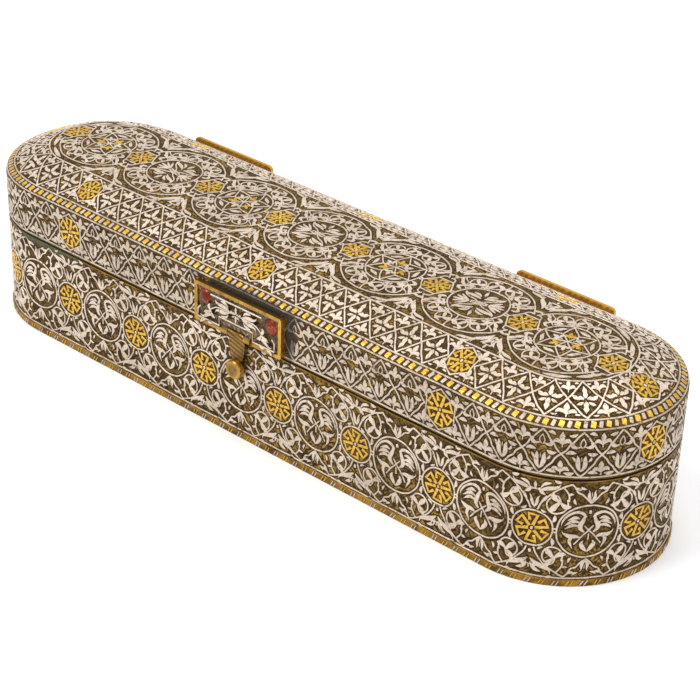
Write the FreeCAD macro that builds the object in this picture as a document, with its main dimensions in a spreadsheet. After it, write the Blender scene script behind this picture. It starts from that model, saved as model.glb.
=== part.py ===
"""Round-ended hinged brass box: a base and a domed lid on two leaf hinges, closed by a hanging hasp.

The long side runs along X, the hasp is on the front at -Y and the hinges are on the back at +Y.
The origin is the centre of the flat underside. All sizes are millimetres.
"""
import FreeCAD, Part
import math
import os
import re

import Sketcher

V = FreeCAD.Vector

# Driving sizes: alias, value, meaning.
SIZES = [
    ("half_straight", 71.6, "half the length of the straight sides"),
    ("half_width", 25.0, "half the width, and the radius of the round ends"),
    ("wall", 1.2, "sheet thickness of walls, floor and lid"),
    ("base_height", 26.0, "height of the base wall"),
    ("split_gap", 0.5, "open line between base and closed lid"),
    ("rim_height", 1.6, "height of the foot rim"),
    ("rim_proud", 0.4, "thickness of the foot rim"),
    ("lip_bottom", 23.5, "underside of the locating lip"),
    ("lip_top", 28.4, "top of the locating lip"),
    ("lip_wall", 0.9, "thickness of the lip below the split"),
    ("lip_clearance", 0.3, "room between lip and lid wall"),
    ("seam_height", 36.5, "where the lid's wall meets its domed top"),
    ("shoulder_height", 37.2, "where the lid starts to curve in"),
    ("shoulder_radius", 1.6, "outer radius of the lid's shoulder"),
    ("bevel_radius", 60.0, "outer radius of the sloping band"),
    ("ridge_radius", 4.0, "outer radius between the sloping band and the panel"),
    ("panel_half_width", 13.75, "half the width of the central panel"),
    ("crown_radius", 170.0, "outer radius of the panel's slight dome"),
    ("crown_height", 43.6, "top of the lid above the underside"),
    ("hinge_place", 52.0, "centre of each hinge from the middle"),
    ("hinge_length", 27.0, "length of a hinge"),
    ("leaf_height", 13.2, "height of a leaf from the hinge axis"),
    ("leaf_sheet", 0.8, "thickness of a leaf"),
    ("leaf_corner", 1.2, "corner radius of a leaf"),
    ("barrel_radius", 1.25, "outer radius of the hinge knuckles"),
    ("barrel_room", 0.1, "gap between knuckles and walls"),
    ("leaf_room", 0.15, "gap between a leaf's edge and the other leaf's knuckles"),
    ("knuckle_gap", 0.15, "gap between two knuckles"),
    ("pin_radius", 0.6, "radius of a hinge pin"),
    ("pin_room", 0.05, "running clearance of a pin"),
    ("pin_head", 0.5, "thickness of a pin's riveted ends"),
    ("leaf_rivet_place", 8.0, "rivet from the middle of a leaf, along it"),
    ("leaf_rivet_rise", 6.2, "rivet from the hinge axis, up or down"),
    ("leaf_rivet_head", 1.3, "radius of a leaf rivet's head"),
    ("leaf_rivet_dome", 0.6, "height of a leaf rivet's head"),
    ("shank_radius", 0.7, "radius of every rivet shank"),
    ("tail_radius", 1.25, "radius of the clenched end inside"),
    ("tail_height", 0.45, "height of the clenched end inside"),
    ("plate_length", 27.0, "length of the hasp plate"),
    ("plate_bottom", 26.6, "lower edge of the hasp plate"),
    ("plate_top", 36.8, "upper edge of the hasp plate"),
    ("plate_sheet", 1.3, "thickness of the hasp plate at its border"),
    ("plate_border", 1.05, "width of the plate's raised border"),
    ("plate_field", 0.4, "depth of the plate's sunk field"),
    ("plate_corner", 0.7, "corner radius of the hasp plate"),
    ("plate_rivet_place", 10.2, "plate rivet from the middle"),
    ("plate_rivet_height", 33.45, "height of the plate's rivets"),
    ("plate_rivet_head", 2.05, "radius of a plate rivet's head"),
    ("plate_rivet_dome", 0.9, "height of a plate rivet's head"),
    ("hasp_axis_out", 1.1, "hasp's pivot from the front wall"),
    ("hasp_axis_height", 27.55, "height of the hasp's pivot"),
    ("hasp_barrel", 0.95, "outer radius of the hasp's knuckles"),
    ("hasp_pin_radius", 0.4, "radius of the hasp's pin"),
    ("hasp_half_knuckle", 2.4, "half the length of the tongue's knuckle"),
    ("hasp_outer_knuckle", 4.4, "outer end of the plate's knuckles"),
    ("hasp_room", 0.2, "gap round the tongue's knuckle"),
    ("tongue_sheet", 1.1, "thickness of the tongue"),
    ("tongue_off_wall", 0.25, "gap between the tongue and the wall"),
    ("tongue_straight", 3.2, "length of the tongue's full-width part below the pivot"),
    ("tongue_neck_drop", 6.9, "tongue's neck below its pivot"),
    ("tongue_neck", 1.15, "half the width of the tongue's neck"),
    ("tongue_side_radius", 9.0, "radius of the tongue's curved sides"),
    ("knob_drop", 8.5, "knob's centre below the tongue's pivot"),
    ("knob_radius", 2.35, "radius of the thumb knob"),
    ("knob_height", 1.5, "thickness of the thumb knob"),
    ("knob_round", 0.6, "rounding of the knob's front edge"),
    ("tip_radius", 1.9, "radius of the tongue's end behind the knob"),
    ("stud_radius", 1.1, "radius of the catch stud"),
    ("stud_height", 0.4, "height of the catch stud"),
    ("dimple_radius", 1.5, "radius of the hollow that the stud sits in"),
    ("dimple_depth", 0.35, "depth of that hollow"),
]
ALIASES = {alias for alias, value, meaning in SIZES}

HINGE_AXIS_OUT = "half_width + barrel_radius + barrel_room"
HINGE_AXIS_HEIGHT = "base_height + split_gap / 2"
HASP_AXIS_OUT = "half_width + hasp_axis_out"
KNUCKLES = 5
TOUCHING = 1e-6  # mm: lengths closer than this count as equal
BOX_SLACK = 1e-4  # mm: how far the bounding box of a round edge may stand off it
FIRST_SHOULDER_TURN = 61  # degrees: where the lid's shoulder ends, before the constraints settle it
FIRST_BEVEL_TURN = 71  # degrees: where its sloping band ends, before the constraints settle it


def make_sizes(doc):
    """Fill the spreadsheet with the driving sizes."""
    sheet = doc.addObject("Spreadsheet::Sheet", "Sizes")
    for row, (alias, value, meaning) in enumerate(SIZES, start=1):
        sheet.set(f"A{row}", alias)
        sheet.set(f"B{row}", str(value))
        sheet.set(f"C{row}", meaning)
        sheet.setAlias(f"B{row}", alias)
    doc.recompute()


def cells(expression):
    """Write the aliases in an expression as cells of the sheet."""
    return re.sub(r"[a-z_]+", lambda word: f"Sizes.{word[0]}" if word[0] in ALIASES else word[0], expression)


def value(doc, expression):
    """The number that an expression of aliases stands for."""
    return float(doc.Sizes.evalExpression(cells(expression)))


def new_body(doc, name):
    body = doc.addObject("PartDesign::Body", name)
    body.Label = name
    return body


def origin_feature(body, role):
    return next(feature for feature in body.Origin.OriginFeatures if feature.Role == role)


def sketch_on(body, name, plane, offset=None):
    """An empty sketch on an origin plane of the body, moved along the plane's normal by an expression."""
    sketch = body.newObject("Sketcher::SketchObject", name)
    sketch.AttachmentSupport = [(origin_feature(body, plane), "")]
    sketch.MapMode = "FlatFace"
    if offset:
        sketch.setExpression("AttachmentOffset.Base.z", cells(offset))
    return sketch


def bind(sketch, kind, *where, to):
    """Add a dimension and bind it to an expression of the sheet."""
    index = sketch.addConstraint(Sketcher.Constraint(kind, *where, value(sketch.Document, to)))
    sketch.setExpression(f"Constraints[{index}]", cells(to))


def bind_point(sketch, edge, end, x, y):
    """Place one end of an edge at (x, y), both expressions; "0" puts it on the axis."""
    for kind, axis, place in (("DistanceX", -2, x), ("DistanceY", -1, y)):
        if place == "0":
            sketch.addConstraint(Sketcher.Constraint("PointOnObject", edge, end, axis))
        else:
            bind(sketch, kind, -1, 1, edge, end, to=place)


def add_stadium(sketch, radius):
    """A round-ended outline, as long as the box's straight sides."""
    doc = sketch.Document
    half = value(doc, "half_straight")
    size = value(doc, radius)

    def end_arc(x, start):
        circle = Part.Circle(V(x, 0, 0), V(0, 0, 1), size)
        return sketch.addGeometry(Part.ArcOfCircle(circle, start, start + math.pi))

    right = end_arc(half, -math.pi / 2)
    top = sketch.addGeometry(Part.LineSegment(V(half, size, 0), V(-half, size, 0)))
    left = end_arc(-half, math.pi / 2)
    bottom = sketch.addGeometry(Part.LineSegment(V(-half, -size, 0), V(half, -size, 0)))
    for first, second in ((right, top), (top, left), (left, bottom), (bottom, right)):
        sketch.addConstraint(Sketcher.Constraint("Tangent", first, 2, second, 1))
    sketch.addConstraint(Sketcher.Constraint("Equal", right, left))
    bind(sketch, "Radius", right, to=radius)
    bind_point(sketch, right, 3, "half_straight", "0")
    bind_point(sketch, left, 3, "-half_straight", "0")


def add_circle(sketch, x, y, radius):
    doc = sketch.Document
    centre = V(value(doc, x), value(doc, y), 0)
    circle = sketch.addGeometry(Part.Circle(centre, V(0, 0, 1), value(doc, radius)))
    bind(sketch, "Radius", circle, to=radius)
    bind_point(sketch, circle, 3, x, y)


def bulging_arc(start, end, radius):
    """The short arc between two points, bulging to the right of the way from start to end."""
    middle = (start + end) / 2
    half = (end - start).Length / 2
    along = (end - start).normalize()
    right = V(along.y, -along.x, 0)
    rise = radius - math.sqrt(radius ** 2 - half ** 2)
    return Part.Arc(start, middle + right * rise, end)


def add_outline(sketch, corners, arcs=None):
    """A closed outline through corners given as pairs of expressions.

    arcs maps a side's number to the expression of its radius; such a side bulges outwards when the
    corners run anticlockwise.
    """
    doc = sketch.Document
    arcs = arcs or {}
    points = [V(value(doc, x), value(doc, y), 0) for x, y in corners]
    sides = []
    for side, start in enumerate(points):
        end = points[(side + 1) % len(points)]
        if side in arcs:
            curve = bulging_arc(start, end, value(doc, arcs[side]))
        else:
            curve = Part.LineSegment(start, end)
        sides.append(sketch.addGeometry(curve))
    # A sketch stores every arc anticlockwise, as these are drawn, so each side ends where the next starts.
    for side, edge in enumerate(sides):
        following = sides[(side + 1) % len(sides)]
        sketch.addConstraint(Sketcher.Constraint("Coincident", edge, 2, following, 1))
        x, y = corners[side]
        bind_point(sketch, edge, 1, x, y)
        if side in arcs:
            bind(sketch, "Radius", edge, to=arcs[side])


def add_box(sketch, left, right, bottom, top):
    """A rectangle between four expressions."""
    add_outline(sketch, [(left, bottom), (right, bottom), (right, top), (left, top)])


def pad(body, name, sketch, length, both_ways=False, backwards=False):
    feature = body.newObject("PartDesign::Pad", name)
    feature.Profile = sketch
    feature.SideType = "Symmetric" if both_ways else "One side"
    feature.Reversed = backwards
    feature.setExpression("Length", cells(length))
    return feature


def pocket(body, name, sketch, depth=None, both_ways=False, backwards=False):
    """Cut a sketch out of the body, through everything unless a depth is given."""
    feature = body.newObject("PartDesign::Pocket", name)
    feature.Profile = sketch
    feature.SideType = "Symmetric" if both_ways else "One side"
    feature.Reversed = backwards
    if depth is None:
        feature.Type = "ThroughAll"
    else:
        feature.setExpression("Length", cells(depth))


def revolve(body, name, sketch, degrees=360, backwards=False):
    """Turn a sketch about its own upright axis."""
    feature = body.newObject("PartDesign::Revolution", name)
    feature.Profile = sketch
    feature.ReferenceAxis = (sketch, ["V_Axis"])
    feature.Angle = degrees
    feature.Reversed = backwards
    return feature


def mirror(body, name, original, plane):
    feature = body.newObject("PartDesign::Mirrored", name)
    feature.Originals = [original]
    feature.MirrorPlane = (origin_feature(body, plane), [""])
    body.Tip = feature


def repeat_along_x(body, name, original, spacing, count):
    feature = body.newObject("PartDesign::LinearPattern", name)
    feature.Originals = [original]
    feature.Direction = (origin_feature(body, "X_Axis"), [""])
    feature.Mode = "Spacing"
    feature.setExpression("Offset", cells(spacing))
    feature.Occurrences = count
    body.Tip = feature


def round_edges(body, base, radius, wanted):
    """Fillet the edges of a feature that the test picks."""
    body.Document.recompute()
    names = [f"Edge{number}" for number, edge in enumerate(base.Shape.Edges, start=1) if wanted(edge)]
    feature = body.newObject("PartDesign::Fillet", base.Name + "Round")
    feature.Base = (base, names)
    feature.setExpression("Radius", cells(radius))


def runs_along_y(edge):
    """True for a straight edge along Y, such as a corner of a plate that lies on a wall."""
    if len(edge.Vertexes) != 2:
        return False
    run = edge.Vertexes[1].Point - edge.Vertexes[0].Point
    return abs(run.y) > TOUCHING and abs(run.x) < TOUCHING and abs(run.z) < TOUCHING


# ---- base ----

def ring(body, name, outer, inner, bottom, height):
    """An upright round-ended band."""
    sketch = sketch_on(body, name + "Outline", "XY_Plane", bottom)
    add_stadium(sketch, outer)
    add_stadium(sketch, inner)
    return pad(body, name, sketch, height)


def drill_wall(body, name, places, radius, front):
    """Round holes along Y through the front or the back wall."""
    sketch = sketch_on(body, name + "Centres", "XZ_Plane")
    for x, z in places:
        add_circle(sketch, x, z, radius)
    return pocket(body, name, sketch, backwards=front)


def leaf_rivets(above):
    """The rivets of both hinges' upper or lower leaves, as (x, z) expressions."""
    sign = "+" if above else "-"
    height = f"{HINGE_AXIS_HEIGHT} {sign} leaf_rivet_rise"
    return [(f"{side} * hinge_place {place} leaf_rivet_place", height)
            for side in ("-1", "1") for place in ("-", "+")]


def plate_rivets():
    return [("-plate_rivet_place", "plate_rivet_height"), ("plate_rivet_place", "plate_rivet_height")]


def make_base_wall(doc):
    body = new_body(doc, "base_wall")
    ring(body, "BaseBand", "half_width", "half_width - wall", "0", "base_height")
    drill_wall(body, "BaseLeafHoles", leaf_rivets(above=False), "shank_radius", front=False)
    drill_wall(body, "StudHole", [("0", "hasp_axis_height - knob_drop")], "shank_radius", front=True)


def make_base_floor(doc):
    body = new_body(doc, "base_floor")
    sketch = sketch_on(body, "FloorOutline", "XY_Plane")
    add_stadium(sketch, "half_width - wall")
    pad(body, "FloorSheet", sketch, "wall")


def make_base_rim(doc):
    body = new_body(doc, "base_rim")
    rim = ring(body, "RimBand", "half_width + rim_proud", "half_width", "0", "rim_height")
    top = value(doc, "rim_height")
    outside = value(doc, "half_width + rim_proud / 2")

    def outer_top_edge(edge):
        box = edge.BoundBox
        flat_on_top = abs(box.ZMin - top) < TOUCHING and box.ZLength < TOUCHING
        return flat_on_top and max(box.YMax, -box.YMin) > outside

    round_edges(body, rim, "rim_proud / 2", outer_top_edge)


def make_inner_lip(doc):
    """A band inside the base wall whose upper half stands into the lid."""
    body = new_body(doc, "inner_lip")
    inner = "half_width - wall - lip_wall"
    ring(body, "LipRoot", "half_width - wall", inner, "lip_bottom", "base_height - lip_bottom")
    ring(body, "LipNose", "half_width - wall - lip_clearance", inner, "base_height", "lip_top - base_height")


# ---- rivets ----

def make_rivet(doc, name, place, head, dome, grip):
    """A domed rivet whose head is outside and whose clenched end is inside; its axis is upright at first.

    place is (x, z, side): the side is -1 for the front and 1 for the back. grip is what it passes through.
    """
    body = new_body(doc, name)
    sketch = sketch_on(body, name + "Profile", "XZ_Plane")
    corners = [
        ("0", f"-{grip} - tail_height"),
        ("tail_radius", f"-{grip} - tail_height"),
        ("tail_radius", f"-{grip}"),
        ("shank_radius", f"-{grip}"),
        ("shank_radius", "0"),
        (head, "0"),
        ("0", dome),
    ]
    dome_radius = f"({head} * {head} + {dome} * {dome}) / (2 * {dome})"
    add_outline(sketch, corners, arcs={5: dome_radius})
    revolve(body, name + "Turned", sketch)
    x, z, side = place
    facing = -90 * side
    body.Placement = FreeCAD.Placement(V(0, 0, 0), FreeCAD.Rotation(V(1, 0, 0), facing))
    body.setExpression("Placement.Base.x", cells(x))
    body.setExpression("Placement.Base.y", cells(f"{side} * (half_width - wall + {grip})"))
    body.setExpression("Placement.Base.z", cells(z))


def make_rivets(doc):
    leaf_grip = "(wall + leaf_sheet)"
    for row, above in (("base_leaf", False), ("lid_leaf", True)):
        for number, (x, z) in enumerate(leaf_rivets(above), start=1):
            place = (x, z, 1)
            make_rivet(doc, f"{row}_rivet_{number}", place, "leaf_rivet_head", "leaf_rivet_dome", leaf_grip)
    plate_grip = "(wall + plate_sheet - plate_field)"
    for number, (x, z) in enumerate(plate_rivets(), start=1):
        place = (x, z, -1)
        make_rivet(doc, f"hasp_rivet_{number}", place, "plate_rivet_head", "plate_rivet_dome", plate_grip)
    stud_place = ("0", "hasp_axis_height - knob_drop", -1)
    make_rivet(doc, "catch_stud", stud_place, "stud_radius", "stud_height", "wall")


# ---- hinges ----

def make_leaf(doc, name, side, above):
    """One hinge leaf with its knuckles: the lid's leaf stands above the axis, the base's hangs below."""
    body = new_body(doc, name)
    sign = "+" if above else "-"
    centre = f"{side} * hinge_place"
    start = f"{centre} - hinge_length / 2"
    pitch = f"hinge_length / {KNUCKLES}"
    first = 1 if above else 0
    count = KNUCKLES // 2 + (0 if above else 1)
    knuckle_start = f"{start} + {first} * {pitch} + knuckle_gap / 2"
    knuckle_length = f"{pitch} - knuckle_gap"

    sheet = sketch_on(body, name + "Sheet", "XZ_Plane", "-half_width")
    near = f"{HINGE_AXIS_HEIGHT} {sign} (barrel_radius + leaf_room)"
    far = f"{HINGE_AXIS_HEIGHT} {sign} leaf_height"
    bottom, top = (near, far) if above else (far, near)
    add_box(sheet, start, f"{centre} + hinge_length / 2", bottom, top)
    plate = pad(body, name + "Plate", sheet, "leaf_sheet", backwards=True)
    far_height = value(doc, far)
    round_edges(body, plate, "leaf_corner",
                lambda edge: runs_along_y(edge) and abs(edge.Vertexes[0].Z - far_height) < TOUCHING)

    web = sketch_on(body, name + "WebOutline", "YZ_Plane", knuckle_start)
    web_low, web_high = (HINGE_AXIS_HEIGHT, near) if above else (near, HINGE_AXIS_HEIGHT)
    add_box(web, "half_width", "half_width + leaf_sheet", web_low, web_high)
    webs = pad(body, name + "Web", web, knuckle_length)
    repeat_along_x(body, name + "Webs", webs, f"2 * {pitch}", count)

    barrel = sketch_on(body, name + "BarrelOutline", "YZ_Plane", knuckle_start)
    add_circle(barrel, HINGE_AXIS_OUT, HINGE_AXIS_HEIGHT, "barrel_radius")
    barrels = pad(body, name + "Barrel", barrel, knuckle_length)
    repeat_along_x(body, name + "Barrels", barrels, f"2 * {pitch}", count)

    bore = sketch_on(body, name + "BoreOutline", "YZ_Plane", start)
    add_circle(bore, HINGE_AXIS_OUT, HINGE_AXIS_HEIGHT, "pin_radius + pin_room")
    pocket(body, name + "Bore", bore, "hinge_length", backwards=True)

    height = f"{HINGE_AXIS_HEIGHT} {sign} leaf_rivet_rise"
    places = [(f"{centre} {place} leaf_rivet_place", height) for place in ("-", "+")]
    drill_wall(body, name + "Holes", places, "shank_radius", front=False)


def make_hinge_pin(doc, name, side):
    """A plain pin with a flat riveted end outside each outer knuckle."""
    body = new_body(doc, name)
    inner_start = f"{side} * hinge_place - hinge_length / 2 + knuckle_gap / 2"
    inner_length = "hinge_length - knuckle_gap"
    shaft = sketch_on(body, name + "ShaftOutline", "YZ_Plane", inner_start)
    add_circle(shaft, HINGE_AXIS_OUT, HINGE_AXIS_HEIGHT, "pin_radius")
    pad(body, name + "Shaft", shaft, inner_length)
    for end, offset in (("Near", f"{inner_start} - pin_head"), ("Far", f"{inner_start} + {inner_length}")):
        head = sketch_on(body, f"{name}{end}Outline", "YZ_Plane", offset)
        add_circle(head, HINGE_AXIS_OUT, HINGE_AXIS_HEIGHT, "barrel_radius - barrel_room * 2")
        pad(body, f"{name}{end}End", head, "pin_head")


def make_hinges(doc):
    for word, side in (("left", -1), ("right", 1)):
        make_leaf(doc, f"{word}_base_leaf", side, above=False)
        make_leaf(doc, f"{word}_lid_leaf", side, above=True)
        make_hinge_pin(doc, f"{word}_hinge_pin", side)


# ---- lid ----

def make_lid_wall(doc):
    body = new_body(doc, "lid_wall")
    bottom = "base_height + split_gap"
    ring(body, "LidBand", "half_width", "half_width - wall", bottom, f"seam_height - ({bottom})")
    drill_wall(body, "LidLeafHoles", leaf_rivets(above=True), "shank_radius", front=False)
    drill_wall(body, "PlateHoles", plate_rivets(), "shank_radius", front=True)


def add_dome_profile(sketch):
    """Half the lid's section: a short upright, then the shoulder, the sloping band, the ridge and the crown,
    each an arc that runs on smoothly from the last, with the same arcs again one sheet thickness inside."""
    doc = sketch.Document
    radius = value(doc, "half_width")
    seam = value(doc, "seam_height")
    wall = value(doc, "wall")
    crown = value(doc, "crown_height")
    radii = [value(doc, name) for name in ("shoulder_radius", "bevel_radius", "ridge_radius", "crown_radius")]
    # A first shape near the answer, which the constraints then make exact.
    crown_start = math.acos(value(doc, "panel_half_width") / radii[3])
    shoulder_end = math.radians(FIRST_SHOULDER_TURN)
    bevel_end = math.radians(FIRST_BEVEL_TURN)
    turns = [0, shoulder_end, bevel_end, crown_start, math.radians(90)]
    centres = [V(radius - radii[0], value(doc, "shoulder_height"), 0)]
    for turn, before, after in zip(turns[1:], radii, radii[1:]):
        centres.append(centres[-1] + V(math.cos(turn), math.sin(turn), 0) * (before - after))
    up = V(0, 0, 1)

    def arcs(inset):
        return [sketch.addGeometry(Part.ArcOfCircle(Part.Circle(centre, up, size - inset), start, end))
                for centre, size, start, end in zip(centres, radii, turns, turns[1:])]

    upright = sketch.addGeometry(Part.LineSegment(V(radius, seam, 0), V(radius, centres[0].y, 0)))
    outer = arcs(0)
    axis_edge = sketch.addGeometry(Part.LineSegment(V(0, crown, 0), V(0, crown - wall, 0)))
    inner = arcs(wall)
    inner_upright = sketch.addGeometry(
        Part.LineSegment(V(radius - wall, centres[0].y, 0), V(radius - wall, seam, 0)))
    foot = sketch.addGeometry(Part.LineSegment(V(radius - wall, seam, 0), V(radius, seam, 0)))

    def constrain(kind, *where):
        sketch.addConstraint(Sketcher.Constraint(kind, *where))

    constrain("Vertical", upright)
    bind_point(sketch, upright, 1, "half_width", "seam_height")
    bind(sketch, "DistanceY", -1, 1, upright, 2, to="shoulder_height")
    constrain("Tangent", upright, 2, outer[0], 1)
    for lower, upper in zip(outer, outer[1:]):
        constrain("Tangent", lower, 2, upper, 1)
    for arc, name in zip(outer, ("shoulder_radius", "bevel_radius", "ridge_radius", "crown_radius")):
        bind(sketch, "Radius", arc, to=name)
    bind(sketch, "DistanceX", -1, 1, outer[3], 1, to="panel_half_width")
    constrain("PointOnObject", outer[3], 3, -2)
    bind_point(sketch, outer[3], 2, "0", "crown_height")
    constrain("Coincident", outer[3], 2, axis_edge, 1)
    constrain("PointOnObject", axis_edge, 2, -2)
    bind(sketch, "DistanceY", axis_edge, 2, axis_edge, 1, to="wall")
    constrain("Coincident", axis_edge, 2, inner[3], 2)
    for outside, inside in zip(outer, inner):
        constrain("Coincident", outside, 3, inside, 3)
    for lower, upper in zip(inner, inner[1:]):
        constrain("Tangent", upper, 1, lower, 2)
    constrain("Tangent", inner[0], 1, inner_upright, 1)
    constrain("Vertical", inner_upright)
    constrain("Coincident", inner_upright, 2, foot, 1)
    constrain("Coincident", foot, 2, upright, 1)
    constrain("Horizontal", foot)


def make_lid_top(doc):
    """The domed top: the half section drawn out along the straight sides and turned round each end."""
    body = new_body(doc, "lid_top")
    straight = sketch_on(body, "DomeSection", "YZ_Plane")
    add_dome_profile(straight)
    half = pad(body, "DomeHalf", straight, "2 * half_straight", both_ways=True)
    mirror(body, "DomeStraight", half, "XZ_Plane")
    end = sketch_on(body, "DomeEndSection", "YZ_Plane", "half_straight")
    add_dome_profile(end)
    right = revolve(body, "DomeRightEnd", end, degrees=180, backwards=True)
    mirror(body, "DomeLeftEnd", right, "YZ_Plane")


# ---- hasp ----

def make_hasp_plate(doc):
    """The plate on the front of the lid: a raised border round a sunk field, and two knuckles."""
    body = new_body(doc, "hasp_plate")
    notch_side = "hasp_half_knuckle + hasp_room / 2"
    notch_top = "hasp_axis_height + hasp_barrel + hasp_room"
    outline = sketch_on(body, "PlateOutline", "XZ_Plane", "half_width")
    half = "plate_length / 2"
    add_outline(outline, [
        (f"-{half}", "plate_bottom"),
        (f"-({notch_side})", "plate_bottom"),
        (f"-({notch_side})", notch_top),
        (notch_side, notch_top),
        (notch_side, "plate_bottom"),
        (half, "plate_bottom"),
        (half, "plate_top"),
        (f"-{half}", "plate_top"),
    ])
    plate = pad(body, "PlateSheet", outline, "plate_sheet")
    edge_x = value(doc, half)
    round_edges(body, plate, "plate_corner",
                lambda edge: runs_along_y(edge) and abs(abs(edge.Vertexes[0].X) - edge_x) < TOUCHING)

    field = sketch_on(body, "FieldOutline", "XZ_Plane", "half_width + plate_sheet")
    step_top = f"{notch_top} + plate_border"
    add_outline(field, [
        (f"-{half} + plate_border", "plate_bottom + plate_border"),
        ("-hasp_outer_knuckle", "plate_bottom + plate_border"),
        ("-hasp_outer_knuckle", step_top),
        ("hasp_outer_knuckle", step_top),
        ("hasp_outer_knuckle", "plate_bottom + plate_border"),
        (f"{half} - plate_border", "plate_bottom + plate_border"),
        (f"{half} - plate_border", "plate_top - plate_border"),
        (f"-{half} + plate_border", "plate_top - plate_border"),
    ])
    pocket(body, "Field", field, "plate_field")

    for word, start in (("Left", "-hasp_outer_knuckle"), ("Right", notch_side)):
        barrel = sketch_on(body, word + "KnuckleOutline", "YZ_Plane", start)
        add_circle(barrel, f"-({HASP_AXIS_OUT})", "hasp_axis_height", "hasp_barrel")
        pad(body, word + "Knuckle", barrel, f"hasp_outer_knuckle - ({notch_side})")
    bore = sketch_on(body, "PlateBoreOutline", "YZ_Plane", "-hasp_outer_knuckle")
    add_circle(bore, f"-({HASP_AXIS_OUT})", "hasp_axis_height", "hasp_pin_radius + pin_room")
    pocket(body, "PlateBore", bore, "2 * hasp_outer_knuckle", backwards=True)
    drill_wall(body, "PlateRivetHoles", plate_rivets(), "shank_radius", front=True)


def make_hasp_tongue(doc):
    """The hanging tongue: a knuckle, a full-width part, curved sides down to a neck and a round end."""
    body = new_body(doc, "hasp_tongue")
    back = "half_width + tongue_off_wall"
    outline = sketch_on(body, "TongueOutline", "XZ_Plane", back)
    waist = "hasp_axis_height - tongue_neck_drop"
    shoulder = "hasp_axis_height - tongue_straight"
    add_outline(outline, [
        ("-tongue_neck", waist),
        ("tongue_neck", waist),
        ("hasp_half_knuckle", shoulder),
        ("hasp_half_knuckle", "hasp_axis_height"),
        ("-hasp_half_knuckle", "hasp_axis_height"),
        ("-hasp_half_knuckle", shoulder),
    ], arcs={1: "tongue_side_radius", 5: "tongue_side_radius"})
    pad(body, "TongueBlade", outline, "tongue_sheet")
    tip = sketch_on(body, "TipOutline", "XZ_Plane", back)
    add_circle(tip, "0", "hasp_axis_height - knob_drop", "tip_radius")
    pad(body, "TongueTip", tip, "tongue_sheet")
    barrel = sketch_on(body, "TongueBarrelOutline", "YZ_Plane")
    add_circle(barrel, f"-({HASP_AXIS_OUT})", "hasp_axis_height", "hasp_barrel")
    pad(body, "TongueBarrel", barrel, "2 * hasp_half_knuckle", both_ways=True)
    bore = sketch_on(body, "TongueBoreOutline", "YZ_Plane")
    add_circle(bore, f"-({HASP_AXIS_OUT})", "hasp_axis_height", "hasp_pin_radius + pin_room")
    pocket(body, "TongueBore", bore, "3 * hasp_half_knuckle", both_ways=True)
    dimple = sketch_on(body, "DimpleOutline", "XZ_Plane", back)
    add_circle(dimple, "0", "hasp_axis_height - knob_drop", "dimple_radius")
    pocket(body, "Dimple", dimple, "dimple_depth", backwards=True)


def make_hasp_knob(doc):
    body = new_body(doc, "hasp_knob")
    face = "half_width + tongue_off_wall + tongue_sheet"
    outline = sketch_on(body, "KnobOutline", "XZ_Plane", face)
    add_circle(outline, "0", "hasp_axis_height - knob_drop", "knob_radius")
    button = pad(body, "KnobButton", outline, "knob_height")
    front = -value(doc, f"{face} + knob_height")

    def front_edge(edge):
        box = edge.BoundBox
        return abs(box.YMax - front) < BOX_SLACK and box.YLength < BOX_SLACK

    round_edges(body, button, "knob_round", front_edge)


def make_hasp_pin(doc):
    body = new_body(doc, "hasp_pin")
    shaft = sketch_on(body, "HaspPinOutline", "YZ_Plane")
    add_circle(shaft, f"-({HASP_AXIS_OUT})", "hasp_axis_height", "hasp_pin_radius")
    pad(body, "HaspPinShaft", shaft, "2 * hasp_outer_knuckle", both_ways=True)


# ---- whole ----

def failed_objects(doc):
    return [item.Name for item in doc.Objects if {"Invalid", "Error"} & set(item.State)]


def write_parts(doc):
    """Write each sub-part as a STEP file named after its label, once every shape is sound."""
    bodies = [item for item in doc.Objects if item.TypeId == "PartDesign::Body"]
    broken = failed_objects(doc)
    broken += [body.Label for body in bodies if body.Shape.isNull() or not body.Shape.isValid()]
    broken += [body.Label for body in bodies if len(body.Shape.Solids) != 1]
    if broken:
        raise RuntimeError(f"failed: {broken}")
    os.makedirs("parts", exist_ok=True)
    for body in bodies:
        body.Shape.exportStep(f"parts/{body.Label}.step")
        box = body.Shape.BoundBox
        print(f"{body.Label:22s} {body.Shape.Volume:9.2f} mm3"
              f"  x {box.XMin:7.2f} {box.XMax:7.2f}  y {box.YMin:7.2f} {box.YMax:7.2f}"
              f"  z {box.ZMin:6.2f} {box.ZMax:6.2f}")


def main():
    doc = FreeCAD.newDocument("HingedBox")
    make_sizes(doc)
    make_base_wall(doc)
    make_base_floor(doc)
    make_base_rim(doc)
    make_inner_lip(doc)
    make_hinges(doc)
    make_lid_wall(doc)
    make_lid_top(doc)
    make_hasp_plate(doc)
    make_hasp_tongue(doc)
    make_hasp_knob(doc)
    make_hasp_pin(doc)
    make_rivets(doc)
    doc.recompute()
    write_parts(doc)


main()
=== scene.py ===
import math
import random
from bisect import bisect_left

import bpy
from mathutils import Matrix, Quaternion, Vector, noise
from mathutils.bvhtree import BVHTree


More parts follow.
